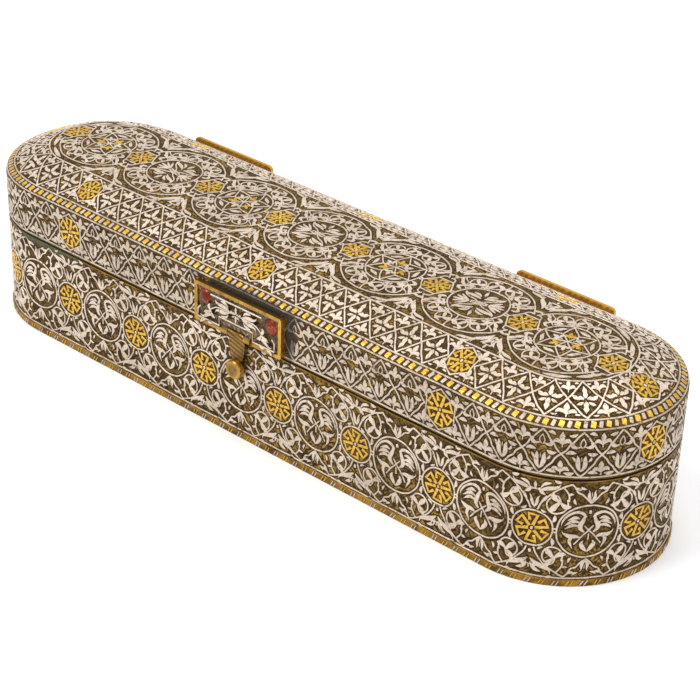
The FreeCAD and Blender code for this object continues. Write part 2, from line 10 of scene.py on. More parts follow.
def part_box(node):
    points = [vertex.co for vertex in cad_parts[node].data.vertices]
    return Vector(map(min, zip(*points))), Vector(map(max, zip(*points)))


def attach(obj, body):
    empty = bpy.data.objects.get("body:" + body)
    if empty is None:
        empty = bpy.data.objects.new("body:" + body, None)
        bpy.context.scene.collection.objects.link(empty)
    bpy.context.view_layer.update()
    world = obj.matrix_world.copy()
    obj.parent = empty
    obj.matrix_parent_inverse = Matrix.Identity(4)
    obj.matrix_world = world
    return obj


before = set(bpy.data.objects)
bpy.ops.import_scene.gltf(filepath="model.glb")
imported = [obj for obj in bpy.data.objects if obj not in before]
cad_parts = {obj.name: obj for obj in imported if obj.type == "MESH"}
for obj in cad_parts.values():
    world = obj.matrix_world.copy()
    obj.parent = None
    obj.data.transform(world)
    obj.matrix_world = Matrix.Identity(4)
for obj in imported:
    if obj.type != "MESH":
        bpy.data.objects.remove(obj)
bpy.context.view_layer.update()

# A long round-ended brass box with silver and gold inlay. Lengths are in millimetres until a
# point is handed to Blender, which takes metres. X runs along the box, -Y is the front, Z is up.
MM = 0.001
SEED = 19
shake = random.Random(SEED)
noise.seed_set(SEED)   # without this, noise_vector changes from run to run


# ---- sizes read from the CAD parts

def box_mm(node):
    """The lowest and highest corners of a CAD node, in millimetres."""
    low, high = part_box(node)
    return [c / MM for c in low], [c / MM for c in high]


wall_low, wall_high = box_mm("base_wall")
lid_low, lid_high = box_mm("lid_wall")
rim_low, rim_high = box_mm("base_rim")
plate_low, plate_high = box_mm("hasp_plate")
knob_low, knob_high = box_mm("hasp_knob")

RADIUS = (wall_high[1] - wall_low[1]) / 2
STRAIGHT = (wall_high[0] - wall_low[0]) / 2 - RADIUS
HALF_TURN = math.pi * RADIUS
PERIMETER = 4 * STRAIGHT + 2 * HALF_TURN
BASE_TOP = wall_high[2]
RIM_TOP = rim_high[2]
LID_BOTTOM = lid_low[2]
SEAM = lid_high[2]


# ---- surfaces to draw on

def around(s):
    """For a distance s round the wall from the middle of the front: the x of the nearest point
    on the centre line, and the outward direction."""
    s = (s + PERIMETER / 2) % PERIMETER - PERIMETER / 2
    side = 1.0 if s >= 0 else -1.0
    run = abs(s)
    if run <= STRAIGHT:
        return side * run, 0.0, -1.0
    if run <= STRAIGHT + HALF_TURN:
        angle = (run - STRAIGHT) / RADIUS
        return side * STRAIGHT, side * math.sin(angle), -math.cos(angle)
    return side * (2 * STRAIGHT + HALF_TURN - run), 0.0, 1.0


def wall_point(s, z, height):
    """A point on the upright walls: s round them, z up them, and height out from them."""
    x, dx, dy = around(s)
    reach = RADIUS + height
    return x + reach * dx, reach * dy, z


def lid_section():
    """The lid's outer line across the middle, from its seam to its crown: rows of distance along
    the line, distance from the centre line, z, and the outward direction."""
    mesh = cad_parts["lid_top"].data
    tree = BVHTree.FromPolygons([v.co / MM for v in mesh.vertices], [p.vertices for p in mesh.polygons])
    centre = Vector((0, 0, SEAM))
    far = 4 * RADIUS
    rays = 360
    line = []
    for i in range(rays + 1):
        angle = math.radians(90) * i / rays
        way = Vector((0, -math.cos(angle), math.sin(angle)))
        hit = tree.ray_cast(centre + far * way, -way)[0]
        if hit is not None:
            line.append((-hit.y, hit.z))
    rows = []
    travelled = 0.0
    for i, (rho, z) in enumerate(line):
        before, after = line[max(i - 2, 0)], line[min(i + 2, len(line) - 1)]
        along = Vector((after[0] - before[0], after[1] - before[1])).normalized()
        if i:
            travelled += math.dist(line[i - 1], line[i])
        rows.append((travelled, rho, z, along[1], -along[0]))
    return rows


SECTION = lid_section()
SECTION_RUNS = [row[0] for row in SECTION]
SECTION_REACHES = [-row[1] for row in SECTION]


def section_row(keys, value):
    """The lid section's rho, z and outward direction where keys reach value."""
    i = min(max(bisect_left(keys, value), 1), len(keys) - 1)
    gap = keys[i] - keys[i - 1]
    share = (value - keys[i - 1]) / gap if gap > 1e-9 else 0.0
    share = min(max(share, 0.0), 1.0)
    return [a + share * (b - a) for a, b in zip(SECTION[i - 1][1:], SECTION[i][1:])]


def run_at(rho):
    """The distance up the lid's section at which it is rho from the centre line."""
    i = min(max(bisect_left(SECTION_REACHES, -rho), 1), len(SECTION) - 1)
    return SECTION_RUNS[i]


def dome_point(s, run, height):
    """A point on the lid's rounded top: s round it, run up its section, and height out from it."""
    x, dx, dy = around(s)
    rho, z, out, up = section_row(SECTION_RUNS, run)
    reach = rho + height * out
    return x + reach * dx, reach * dy, z + height * up


def lid_wall_point(s, z, height):
    """A point on the lid's upright wall, running on over the shoulder above the seam."""
    if z <= SEAM:
        return wall_point(s, z, height)
    return dome_point(s, z - SEAM, height)


def panel_point(x, y, height):
    """A point on the lid's top by its plan position."""
    over = math.copysign(max(abs(x) - STRAIGHT, 0.0), x)
    rho = math.hypot(over, y)
    z, out, up = section_row(SECTION_REACHES, -rho)[1:]
    if rho < 1e-6:
        return x, y, z + height
    return x + height * out * over / rho, y + height * out * y / rho, z + height * up


def front_middle(low, high):
    """The x and z of the middle of a box."""
    return (low[0] + high[0]) / 2, (low[2] + high[2]) / 2


PLATE_FIELD_DEPTH = 0.4
PLATE_FIELD = plate_low[1] + PLATE_FIELD_DEPTH
RIVET_PLACE = front_middle(*box_mm("hasp_rivet_2"))
KNOB_RADIUS = (knob_high[0] - knob_low[0]) / 2
KNOB = (*front_middle(knob_low, knob_high), KNOB_RADIUS)


def plate_point(x, z, height):
    """A point on the sunk field of the front plate."""
    return x, PLATE_FIELD - height, z


# ---- inlay

def polar(reach, degrees, tall=1.0):
    """The x and y of a point at a distance and an angle, stretched upwards by tall."""
    angle = math.radians(degrees)
    return reach * math.cos(angle), reach * tall * math.sin(angle)


TOP = 0.12            # how far the metal stands above the ground
FOOT = 0.035          # the height of its lower edge
# the dark cut beside the metal is partly a dark filling and partly painted shadow of its raised edge
CUT_FLOOR = 0.008     # the height of the dark cut beside it
CUT = 0.27            # the width of that cut
BEVEL = 0.05          # how much the metal narrows towards its top
LINE = 0.19           # half the width of a silver line
STEP = 0.5            # the length of one piece of a line
THINNEST = 0.05       # the least half width of a strip
THINNEST_TOP = 0.02   # and of its top
BLUNT = 0.8           # the share of a strip's width that is left at its end
LIFTS = (0.0, 0.009, 0.018, 0.004, 0.013, 0.022)  # keeps crossing strips apart


def smooth(points, closed, step):
    """Points along a smooth curve through (x, y, half width) points."""
    count = len(points)
    curve = []
    for i in range(count if closed else count - 1):
        if closed:
            a, b, c, d = (points[(i + k) % count] for k in (-1, 0, 1, 2))
        else:
            a, b, c, d = (points[min(max(i + k, 0), count - 1)] for k in (-1, 0, 1, 2))
        pieces = max(1, math.ceil(math.dist(b[:2], c[:2]) / step))
        for j in range(pieces):
            t = j / pieces
            curve.append(tuple(
                0.5 * (2 * q + (r - p) * t + (2 * p - 5 * q + 4 * r - s) * t * t
                       + (3 * q - p - 3 * r + s) * t * t * t)
                for p, q, r, s in zip(a, b, c, d)))
    if not closed:
        curve.append(tuple(points[-1]))
    return curve


class Inlay:
    """The strips of one metal let into one surface."""

    def __init__(self):
        self.corners = []
        self.quads = []
        self.looks = []
        self.strips = 0

    def row(self, place, u, v, across, offsets, lift):
        """Adds six corners across a strip and returns the number of the first."""
        first = len(self.corners)
        for offset, height in offsets:
            point = place(u + across[0] * offset, v + across[1] * offset, height + lift)
            self.corners.append([c * MM for c in point])
        return first

    def strip(self, place, path, closed, cut):
        """Adds one raised strip with a dark cut along both sides and round its ends: dark filling and
        painted shadow of the raised edges.
        """
        lift = LIFTS[self.strips % len(LIFTS)]
        self.strips += 1
        count = len(path)
        rows = []
        for i, (u, v, half) in enumerate(path):
            before = path[i - 1] if (i or closed) else path[0]
            after = path[(i + 1) % count] if (i < count - 1 or closed) else path[-1]
            along = (after[0] - before[0], after[1] - before[1])
            length = math.hypot(*along) or 1.0
            along = (along[0] / length, along[1] / length)
            across = (-along[1], along[0])
            half = max(half, THINNEST)
            top = max(half - BEVEL, THINNEST_TOP)
            full = ((half + cut, CUT_FLOOR), (half, FOOT), (top, TOP),
                    (-top, TOP), (-half, FOOT), (-half - cut, CUT_FLOOR))
            ends = []
            if not closed and i in (0, count - 1):
                way = -1.0 if i == 0 else 1.0
                end = half * BLUNT
                blunt = ((end + cut, CUT_FLOOR), (end, FOOT), (half * 0.5, FOOT),
                         (-half * 0.5, FOOT), (-end, FOOT), (-end - cut, CUT_FLOOR))
                shut = tuple((offset * 0.7, CUT_FLOOR) for offset, _ in blunt)
                ends = [self.row(place, u + way * along[0] * far, v + way * along[1] * far,
                                 across, offsets, lift) for far, offsets in ((0.06, blunt), (cut, shut))]
            middle = self.row(place, u, v, across, full, lift)
            rows += ends[::-1] + [middle] if i == 0 else [middle] + ends
        if closed:
            rows.append(rows[0])
        for i, (here, there) in enumerate(zip(rows, rows[1:])):
            shut = not closed and i in (0, len(rows) - 2)
            for column in range(5):
                self.quads.append((here + column, here + column + 1, there + column + 1, there + column))
                self.looks.append(0 if column in (1, 2, 3) and not shut else 1)


class Ground:
    """One surface to be inlaid: its place function, what covers it, how far the hand wanders on it,
    the width of the cuts beside the metal, and its silver and gold."""

    def __init__(self, place, covered=lambda u, v: False, wander=0.14, cut=CUT):
        self.place = place
        self.covered = covered
        self.wander = wander
        self.cut = cut
        self.inlays = {"silver": Inlay(), "gold": Inlay()}

    def by_hand(self, u, v):
        """Moves a point by a slow drift and a small tremble, so that no two repeats are quite alike."""
        point = Vector(self.place(u, v, 0.0))
        drift = noise.noise_vector(point * 0.17) * 1.6 + noise.noise_vector(point * 0.6) * 0.75
        return u + self.wander * drift.x, v + self.wander * drift.y


class Pen:
    """Draws on a ground from a position, turn, size and mirroring of its own."""

    def __init__(self, ground, matrix=(1.0, 0.0, 0.0, 1.0), origin=(0.0, 0.0)):
        self.ground = ground
        self.matrix = matrix
        self.origin = origin

    def onto(self, x, y):
        a, b, c, d = self.matrix
        return a * x + b * y + self.origin[0], c * x + d * y + self.origin[1]

    def at(self, x=0.0, y=0.0, turn=0.0, size=1.0, tall=1.0, mirror=False, loose=0.0):
        """A pen moved to (x, y), turned anticlockwise by turn degrees, with its drawing scaled by
        size, stretched upwards by tall, and mirrored left to right. loose adds chance to it."""
        turn += loose * shake.uniform(-40, 40)
        size *= 1 + loose * shake.uniform(-1, 1)
        angle = math.radians(turn)
        across = -size if mirror else size
        up = size * tall
        p, q = math.cos(angle) * across, -math.sin(angle) * up
        r, s = math.sin(angle) * across, math.cos(angle) * up
        a, b, c, d = self.matrix
        return Pen(self.ground, (a * p + b * r, a * q + b * s, c * p + d * r, c * q + d * s),
                   self.onto(x, y))

    def mirrored(self):
        """This pen, and one mirrored left to right."""
        return self, self.at(mirror=True)

    def turned(self):
        """This pen, and one turned upside down."""
        return self, self.at(turn=180)

    def size(self):
        a, b, c, d = self.matrix
        return math.sqrt(abs(a * d - b * c))

    def stroke(self, points, metal="silver", closed=False, half=None, sharp=False):
        """A strip through (x, y, half width) points, or through (x, y) points with one half."""
        if half is not None:
            points = [(p[0], p[1], half / self.size()) for p in points]
        curve = list(points) if sharp else smooth(points, closed, STEP / self.size())
        path = []
        for x, y, width in curve:
            u, v = self.onto(x, y)
            u, v = self.ground.by_hand(u, v)
            path.append((u, v, width * self.size()))
        if all(self.ground.covered(u, v) for u, v, width in path):
            return
        self.ground.inlays[metal].strip(self.ground.place, path, closed, self.ground.cut)

    def line(self, points, half=LINE, closed=False):
        self.stroke(points, closed=closed, half=half)

    def ring(self, radius, half=LINE, start=0.0, stop=360.0):
        """A ring, or the part of one between two angles in degrees."""
        whole = stop - start >= 360
        spans = max(4, round((stop - start) / 18))
        points = [polar(radius, start + (stop - start) * i / spans) for i in range(spans + (not whole))]
        self.line(points, half, closed=whole)

    def dot(self, x, y, radius):
        left, right = [(x + way * radius * 0.55, y, radius * 0.8) for way in (-1, 1)]
        self.stroke([left, (x, y, radius), right], sharp=True)

    def shape(self, shape, metal="silver"):
        """A motif: strokes in the middle, and strokes drawn on both sides of it."""
        middle, sides = shape
        for points in middle:
            self.stroke(points, metal)
        for pen in self.mirrored():
            for points in sides:
                pen.stroke(points, metal)

    def plant(self, *rows):
        """Draws motifs, from rows of motif, x, y, turn, size and looseness."""
        for motif, x, y, turn, size, loose in rows:
            self.at(x, y, turn=turn, size=size, loose=loose).shape(motif)

    def plant_both(self, *rows):
        """Draws the rows' motifs as they are, and then mirrored left to right."""
        for mirror in (False, True):
            for row in rows:
                self.at(mirror=mirror).plant(row)


# ---- motifs, as (x, y, half width)

TREFOIL = (
    (((0, 0.0, 0.16), (0, 0.9, 0.34), (0, 1.6, 0.44), (0, 2.25, 0.12)),),
    (((0.12, 0.12, 0.14), (0.75, 0.18, 0.32), (1.3, 0.08, 0.42), (1.7, -0.4, 0.12)),),
)
LILY = (
    (),
    (((0.05, -0.2, 0.1), (0.42, 0.6, 0.36), (0.62, 1.4, 0.34), (0.75, 2.1, 0.22), (1.15, 2.75, 0.05)),),
)
TULIP = (
    (((0, 1.0, 0.08), (0, 1.6, 0.16), (0, 2.3, 0.05)),),
    (((0.0, -0.4, 0.14), (0.62, 0.5, 0.46), (0.82, 1.5, 0.38), (0.7, 2.3, 0.2), (1.0, 2.9, 0.04)),
     ((0.3, 0.2, 0.1), (1.1, 0.35, 0.2), (1.6, 0.9, 0.05))),
)
HALF_LEAF = (
    (((0, 0, 0.12), (0.9, 0.3, 0.36), (2.1, 0.42, 0.5), (3.3, 0.3, 0.4), (4.2, 0.45, 0.22),
      (4.7, 1.0, 0.05)),
     ((0.5, 0.75, 0.1), (1.1, 1.35, 0.3), (2.0, 1.6, 0.36), (2.9, 1.5, 0.08))),
    (),
)
LEAF = ((((0, 0, 0.12), (0.25, 0.7, 0.44), (0.25, 1.4, 0.42), (0.0, 2.05, 0.1)),), ())
SPRIG = (
    (((0, -1.0, 0.12), (0, 0.1, 0.16), (0, 0.7, 0.44), (0, 1.25, 0.5), (0, 1.95, 0.1)),),
    (((0.05, -0.35, 0.12), (0.55, 0.2, 0.36), (1.1, 0.35, 0.42), (1.55, -0.1, 0.12)),),
)
QUATREFOIL = (
    (((0, 0.35, 0.18), (0, 0.95, 0.5), (0, 1.5, 0.36), (0, 2.0, 0.52), (0, 2.9, 0.05)),
     ((0, -0.45, 0.18), (0, -1.05, 0.5), (0, -1.6, 0.36), (0, -2.1, 0.5), (0, -3.0, 0.05))),
    (((0.35, 0.1, 0.18), (0.95, 0.4, 0.46), (1.45, 0.15, 0.32), (1.95, 0.45, 0.44), (2.5, 0.75, 0.05)),
     ((0.5, -0.6, 0.14), (1.1, -0.95, 0.36), (1.7, -1.2, 0.05))),
)
BIG_TULIP = (
    (((0, 2.7, 0.07), (0, 3.3, 0.14), (0, 4.0, 0.06)),),
    (((0.0, -0.1, 0.14), (0.62, 0.8, 0.46), (0.92, 2.1, 0.6), (0.85, 3.4, 0.46), (1.0, 4.3, 0.12)),),
)
CURLS = (
    (),
    (((0.15, 0.2, 0.17), (0.62, 1.1, 0.17), (0.42, 2.0, 0.17), (0.0, 2.7, 0.17)),
     ((0.45, 0.55, 0.16), (1.2, 0.25, 0.3), (2.1, 0.4, 0.56), (2.4, 1.1, 0.44), (1.9, 1.5, 0.12))),
)
BIRDS = (
    (((0, -0.6, 0.16), (0, -2.1, 0.16)),),
    (((0.75, 3.7, 0.22), (1.5, 4.55, 0.36), (2.9, 4.75, 0.3), (4.4, 3.9, 0.26), (5.5, 2.3, 0.2),
      (5.7, 1.2, 0.05)),
     ((2.0, 3.3, 0.12), (3.0, 3.45, 0.4), (4.5, 2.6, 0.07)),
     ((2.1, 2.3, 0.16), (3.4, 2.5, 0.44), (5.0, 1.4, 0.07)),
     ((2.1, 1.3, 0.16), (3.4, 1.5, 0.4), (4.8, 0.5, 0.07)),
     ((1.0, 3.8, 0.3), (1.3, 2.7, 0.44), (1.75, 1.6, 0.56), (1.7, 0.7, 0.44), (0.9, -0.2, 0.16)),
     ((1.5, -1.6, 0.1), (2.5, -1.2, 0.42), (3.9, -1.2, 0.52), (5.2, -0.5, 0.14), (5.4, 0.1, 0.05)),
     ((3.4, -1.5, 0.34), (3.7, -2.4, 0.4), (3.3, -3.5, 0.2), (2.9, -4.3, 0.05)),
     ((-2.7, -3.2, 0.17), (-1.5, -1.5, 0.17), (-0.4, -0.2, 0.17), (0.5, 0.9, 0.17), (0.9, 1.4, 0.1)),
     ((0.0, -5.1, 0.1), (0.8, -4.1, 0.48), (1.3, -3.1, 0.42), (0.95, -2.3, 0.06))),
)
FAN = (
    (((0, 0, 0.14), (0, 1.6, 0.26), (0, 2.9, 0.14)),),
    (((0.15, 0.1, 0.12), (0.6, 1.5, 0.25), (1.0, 2.6, 0.14)),
     ((0.25, 0.1, 0.12), (1.1, 1.1, 0.24), (1.8, 1.9, 0.12)),
     ((-0.2, -0.3, 0.2), (-0.3, -1.1, 0.14), (0.5, -1.6, 0.1))),
)


def fret(pen, radius, tall=1.0):
    """A six-armed gold fret with a silver dot at its centre."""
    for k in range(6):
        arm = []
        for reach, angle in ((0.2, 0), (0.94, -3), (0.97, 31), (0.54, 33)):
            arm.append((*polar(radius * reach, 60 * k + 15 + angle, tall), 0.39))
        pen.stroke(arm, "gold", sharp=True)
    pen.dot(0, 0, 0.42)


def gold_roundel(pen, radius):
    pen.ring(radius)
    fret(pen, radius - 0.75)


def hexagon(pen, wide, tall_by, pointed_up=True):
    """A six-sided gold field in a silver line."""
    first = 90 if pointed_up else 0
    corners = [polar(wide, first + 60 * k, tall_by) for k in range(6)]
    edge = []
    for (x0, y0), (x1, y1) in zip(corners, corners[1:] + corners[:1]):
        edge += [(x0, y0), (x0 * 0.85 + x1 * 0.15, y0 * 0.85 + y1 * 0.15),
                 (x0 * 0.15 + x1 * 0.85, y0 * 0.15 + y1 * 0.85)]
    pen.line(edge, closed=True)
    fret(pen, wide - 0.85, tall_by)


def scroll(pen, radius, start, sweep, leaf=0.56):
    """A stem curled round a trefoil. leaf is the trefoil's size for each millimetre of radius."""
    turns = max(4, round(abs(sweep) / 40))
    points = []
    for i in range(turns + 1):
        share = i / turns
        points.append(polar(radius * (1 - 0.14 * share), start + sweep * share))
    x, y = polar(0.42 * radius, start + sweep + math.copysign(40, sweep))
    pen.line(points + [(x, y)])
    heading = math.degrees(math.atan2(-y, -x)) - 90
    pen.at(x, y, turn=heading, size=leaf * radius, loose=0.06).shape(TREFOIL)


def tie(pen, x):
    """A small ring where two roundels meet."""
    pen.at(x).ring(0.42, half=0.17)


# ---- walls of the base

UNITS = 19
UNIT = PERIMETER / UNITS
BASE_BAND_LOW = RIM_TOP + 0.45
BASE_BAND_HIGH = BASE_TOP - 0.6
BASE_BAND_MID = (BASE_BAND_LOW + BASE_BAND_HIGH) / 2
BASE_BAND_HALF = (BASE_BAND_HIGH - BASE_BAND_LOW) / 2
BIRD_RING = 6.55
GOLD_RING = 4.4
DRAWN_HALF = 11.1   # half the height that a quarter is drawn for

FRAME_ARC = ((10.95, 4.5), (10.2, 6.2), (8.7, 8.1), (6.7, 9.7), (4.3, 10.9))
FRAME_WAVE = ((4.3, 10.9), (3.5, 10.1), (2.95, 9.1), (1.9, 8.6), (1.05, 7.6), (0, 6.7))
FRAME_SPUR = ((5.9, 9.9), (4.9, 8.5), (4.75, 6.9))


def base_quarter(pen):
    """The frame lines and scrolls right of and above a bird roundel; mirrored to the other three."""
    for points in (FRAME_ARC, FRAME_WAVE, FRAME_SPUR):
        pen.line(points)
    scroll(pen.at(7.05, 6.1), 2.3, 150, 300, leaf=0.6)
    pen.plant((LEAF, 4.9, 8.2, 70, 0.62, 0.06), (LEAF, 7.2, 3.6, 190, 0.85, 0.05),
              (LEAF, 9.1, 4.1, -60, 0.62, 0.05), (LEAF, 3.1, 6.35, -25, 0.62, 0.05),
              (LEAF, 9.6, 8.1, -38, 0.9, 0.05), (LEAF, 2.1, 9.9, -80, 0.8, 0.05),
              (LEAF, 6.4, 11.2, -78, 0.75, 0.05))


def over_gold(pen):
    """Lily and half leaves in the gap above a gold roundel."""
    pen.plant((LILY, 0, 5.5, 0, 0.95, 0.04))
    pen.plant_both((HALF_LEAF, 0.9, 9.2, 14, 0.98, 0.03), (LEAF, 1.5, 7.0, -30, 0.75, 0.04))
    pen.plant((TREFOIL, 0, 9.5, 0, 0.8, 0.03))


def under_gold(pen):
    """A dot and two long split leaves in the gap below a gold roundel, drawn pointing up."""
    pen.dot(0, 5.7, 0.45)
    pen.plant_both((HALF_LEAF, 0.3, 7.6, 26, 1.15, 0.03))
    pen.plant((TREFOIL, 0, 9.0, 0, 0.45, 0))


def over_bird(pen):
    """A tulip between two leaves in the gap above a bird roundel."""
    pen.plant((TULIP, 0, 7.75, 0, 0.82, 0.04))
    pen.plant_both((LEAF, 1.3, 10.35, -62, 0.62, 0.04))


def draw_base_wall(front, back):
    """The repeats round the base: those nearest the front on one ground, the others on the other."""
    for k in range(UNITS):
        number = k - UNITS // 2
        ground = front if abs(number) <= UNITS // 4 else back
        unit = Pen(ground).at(number * UNIT, BASE_BAND_MID)
        for half in unit.turned():
            for quarter in half.mirrored():
                base_quarter(quarter.at(tall=BASE_BAND_HALF / DRAWN_HALF))
            over_bird(half)
        unit.ring(BIRD_RING)
        unit.at(loose=0.015).shape(BIRDS)
        unit.dot(0, 5.0, 0.46)
        for side in (-1, 1):
            tie(unit, side * (BIRD_RING + UNIT / 2 - GOLD_RING) / 2)
        gold = unit.at(UNIT / 2, 0)
        gold_roundel(gold.at(loose=0.02), GOLD_RING)
        over_gold(gold)
        under_gold(gold.at(turn=180))
    edge_line(Pen(back), BASE_BAND_LOW - 0.15)


def edge_line(pen, v, half=0.2, length=PERIMETER):
    """A silver line all the way round."""
    count = 480
    path = []
    for i in range(count):
        u = length * i / count
        path.append((u, v + 0.5 * (pen.ground.by_hand(u, v)[1] - v), half))
    pen.ground.inlays["silver"].strip(pen.ground.place, path, True, pen.ground.cut)


# ---- lattices of the lid

def lattice_line(width, half):
    """One wavy line from the apex over a cell to the crossing beside it."""
    return ((0, half), (width * 0.11, half * 0.83), (width * 0.19, half * 0.64),
            (width * 0.3, half * 0.44), (width * 0.37, half * 0.22), (width * 0.5, 0))


def lattice(pen, cells, width, half, specials, motifs, wavy=True):
    """Crossed lines between two edges. motifs are what to plant in each diamond, at the top edge and
    at the bottom edge. specials are the numbers of the diamonds left free for a gold hexagon."""
    line = lattice_line(width, half) if wavy else ((0, half), (width * 0.25, half * 0.5), (width * 0.5, 0))
    in_cell, at_top, at_bottom = motifs
    for k in range(cells):
        number = k - cells // 2
        here = pen.at(number * width, 0)
        if number not in specials:
            for half_cell in here.turned():
                for quarter in half_cell.mirrored():
                    quarter.line(line, half=0.2)
            here.plant(*in_cell)
        here.at(width / 2, half).plant(*at_top)
        here.at(width / 2, -half).plant(*at_bottom)


LID_CELLS = 54
LID_CELL = PERIMETER / LID_CELLS
LID_BAND_LOW = LID_BOTTOM + 0.75
LID_BAND_HIGH = SEAM + 1.15
LID_BAND_MID = (LID_BAND_LOW + LID_BAND_HIGH) / 2
LID_BAND_HALF = (LID_BAND_HIGH - LID_BAND_LOW) / 2
LID_HEXAGONS = (7, 13, 20, -7, -13, -20)
LID_MOTIFS = (
    ((CURLS, 0, 1.55, 0, 0.84, 0.03), (BIG_TULIP, 0, -3.9, 0, 0.84, 0.03),
     (LEAF, -1.35, -1.7, 28, 0.62, 0.04), (LEAF, -1.2, 0.35, 95, 0.95, 0.04),
     (LEAF, 1.35, -1.7, -28, 0.62, 0.04), (LEAF, 1.2, 0.35, -95, 0.95, 0.04)),
    ((SPRIG, 0, -2.35, 0, 1.15, 0.05),
     (LEAF, 1.35, -0.75, -75, 0.8, 0.05), (LEAF, -1.35, -0.75, 75, 0.8, 0.05)),
    ((SPRIG, 0, 1.35, 0, 1.15, 0.05),
     (LEAF, 0.8, 0.65, -85, 0.95, 0.04), (LEAF, -0.8, 0.65, 85, 0.95, 0.04)),
)


def draw_lid_wall(pen):
    band = pen.at(0, LID_BAND_MID)
    lattice(band, LID_CELLS, LID_CELL, LID_BAND_HALF, LID_HEXAGONS, LID_MOTIFS)
    for k in LID_HEXAGONS:
        hexagon(band.at(k * LID_CELL, 0), 4.3, 1.12)
    edge_line(pen, LID_BAND_LOW - 0.2)


# ---- border and slope of the lid

BORDER_LOW = run_at(24.75)
BORDER_HIGH = run_at(22.9)
RIDGE = run_at(14.2)
BORDER_PAIRS = 132
SLOPE_STRAIGHT_CELLS = 20
SLOPE_END_CELLS = 8
SLOPE_CELLS = 2 * (SLOPE_STRAIGHT_CELLS + SLOPE_END_CELLS)
SLOPE_CELL = 2 * STRAIGHT / SLOPE_STRAIGHT_CELLS
SLOPE_CELL_END = HALF_TURN / SLOPE_END_CELLS
SLOPE_LENGTH = SLOPE_CELLS * SLOPE_CELL
SLOPE_HEXAGONS = (0, 8, 14, 20, 28, -8, -14, -20, -28)
SLOPE_MOTIFS = (
    ((QUATREFOIL, 0, 0, 0, 1.1, 0.03),),
    ((SPRIG, 0, -1.9, 0, 1.1, 0.05),
     (LEAF, -2.5, -0.65, -95, 0.5, 0.05), (LEAF, 2.5, -0.65, 95, 0.5, 0.05)),
    ((SPRIG, 0, 1.3, 0, 1.1, 0.05),
     (LEAF, -2.5, 0.65, 275, 0.5, 0.05), (LEAF, 2.5, 0.65, 85, 0.5, 0.05)),
)


def draw_border(pen):
    middle = (BORDER_LOW + BORDER_HIGH) / 2
    reach = (BORDER_HIGH - BORDER_LOW) / 2 - 0.45
    for k in range(2 * BORDER_PAIRS):
        metal = "gold" if k % 2 else "silver"
        half = 0.56 if k % 2 else 0.4
        here = pen.at(PERIMETER * k / (2 * BORDER_PAIRS), middle, loose=0.05)
        here.stroke([(-0.2, -reach, half), (0, 0, half + 0.04), (0.2, reach, half)], metal, sharp=True)
    edge_line(pen, BORDER_LOW, half=0.19)
    edge_line(pen, BORDER_HIGH, half=0.21)


def slope_place(t, v, height):
    """The slope in cells: t runs SLOPE_CELL for each of them, on the straights and round the ends,
    where a cell takes SLOPE_CELL_END of the wall."""
    t = (t + SLOPE_LENGTH / 2) % SLOPE_LENGTH - SLOPE_LENGTH / 2
    side = 1.0 if t >= 0 else -1.0
    run = abs(t)
    ends = SLOPE_END_CELLS * SLOPE_CELL
    if run <= STRAIGHT:
        s = run
    elif run <= STRAIGHT + ends:
        s = STRAIGHT + (run - STRAIGHT) * SLOPE_CELL_END / SLOPE_CELL
    else:
        s = run - ends + HALF_TURN
    return dome_point(side * s, v, height)


def draw_slope(pen):
    low = BORDER_HIGH + 0.3
    high = RIDGE - 0.15
    band = pen.at(0, (low + high) / 2)
    lattice(band, SLOPE_CELLS, SLOPE_CELL, (high - low) / 2, SLOPE_HEXAGONS, SLOPE_MOTIFS, wavy=False)
    for k in SLOPE_HEXAGONS:
        if k != -SLOPE_CELLS // 2:
            hexagon(band.at(k * SLOPE_CELL, 0), 3.7, 1.08)
    edge_line(pen, RIDGE, half=0.21, length=SLOPE_LENGTH)


# ---- panel on the lid

MEDALLION_PITCH = 23.5
INNER_RING = 6.8
OUTER_RING = 12.3
OUTER_START = 22     # degrees from the long axis at which an outer ring begins
PANEL_HEXAGON = 3.9
SCROLL_REACH = 9.55
SPRIG_REACH = 7.35
END_LEAF_REACH = 13.5


def star(pen):
    """A six-pointed star: a trefoil in each point, every other one gold, and a leaf between points."""
    tip = INNER_RING - 0.3
    for k in range(6):
        point = pen.at(turn=60 * k)
        notch = (1.75, 3.05)
        point.line(((0, 0), (0.95, 1.5), notch), half=0.18)
        for x, y in (notch, (-notch[0], notch[1])):
            point.line(((x, y), (x * 0.6, 4.6), (0, tip)), half=0.18)
        point.at(0, 2.2, size=0.9, loose=0.03).shape(SPRIG, "silver" if k % 2 else "gold")
        point.stroke(((1.4, 5.35, 0.1), (2.3, 4.75, 0.42), (3.3, 4.35, 0.42), (4.0, 3.8, 0.08)))


def garden(pen):
    """Fans and leaves round a knot of stems."""
    for turn in (-90, 90):
        pen.at(turn=turn).plant((FAN, 0, 2.3, 0, 1.25, 0.02))
    for half in pen.turned():
        for mirror in (False, True):
            quarter = half.at(mirror=mirror)
            quarter.line(((0, 0), (1.3, 1.3), (3.4, 2.3), (4.6, 3.7)), half=0.19)
            quarter.plant((HALF_LEAF, 0.4, 2.2, 14, 0.98, 0))
        half.stroke(((0, 3.6, 0.1), (0, 4.6, 0.42), (0, 5.9, 0.06)))
    pen.ring(0.65, half=0.2)


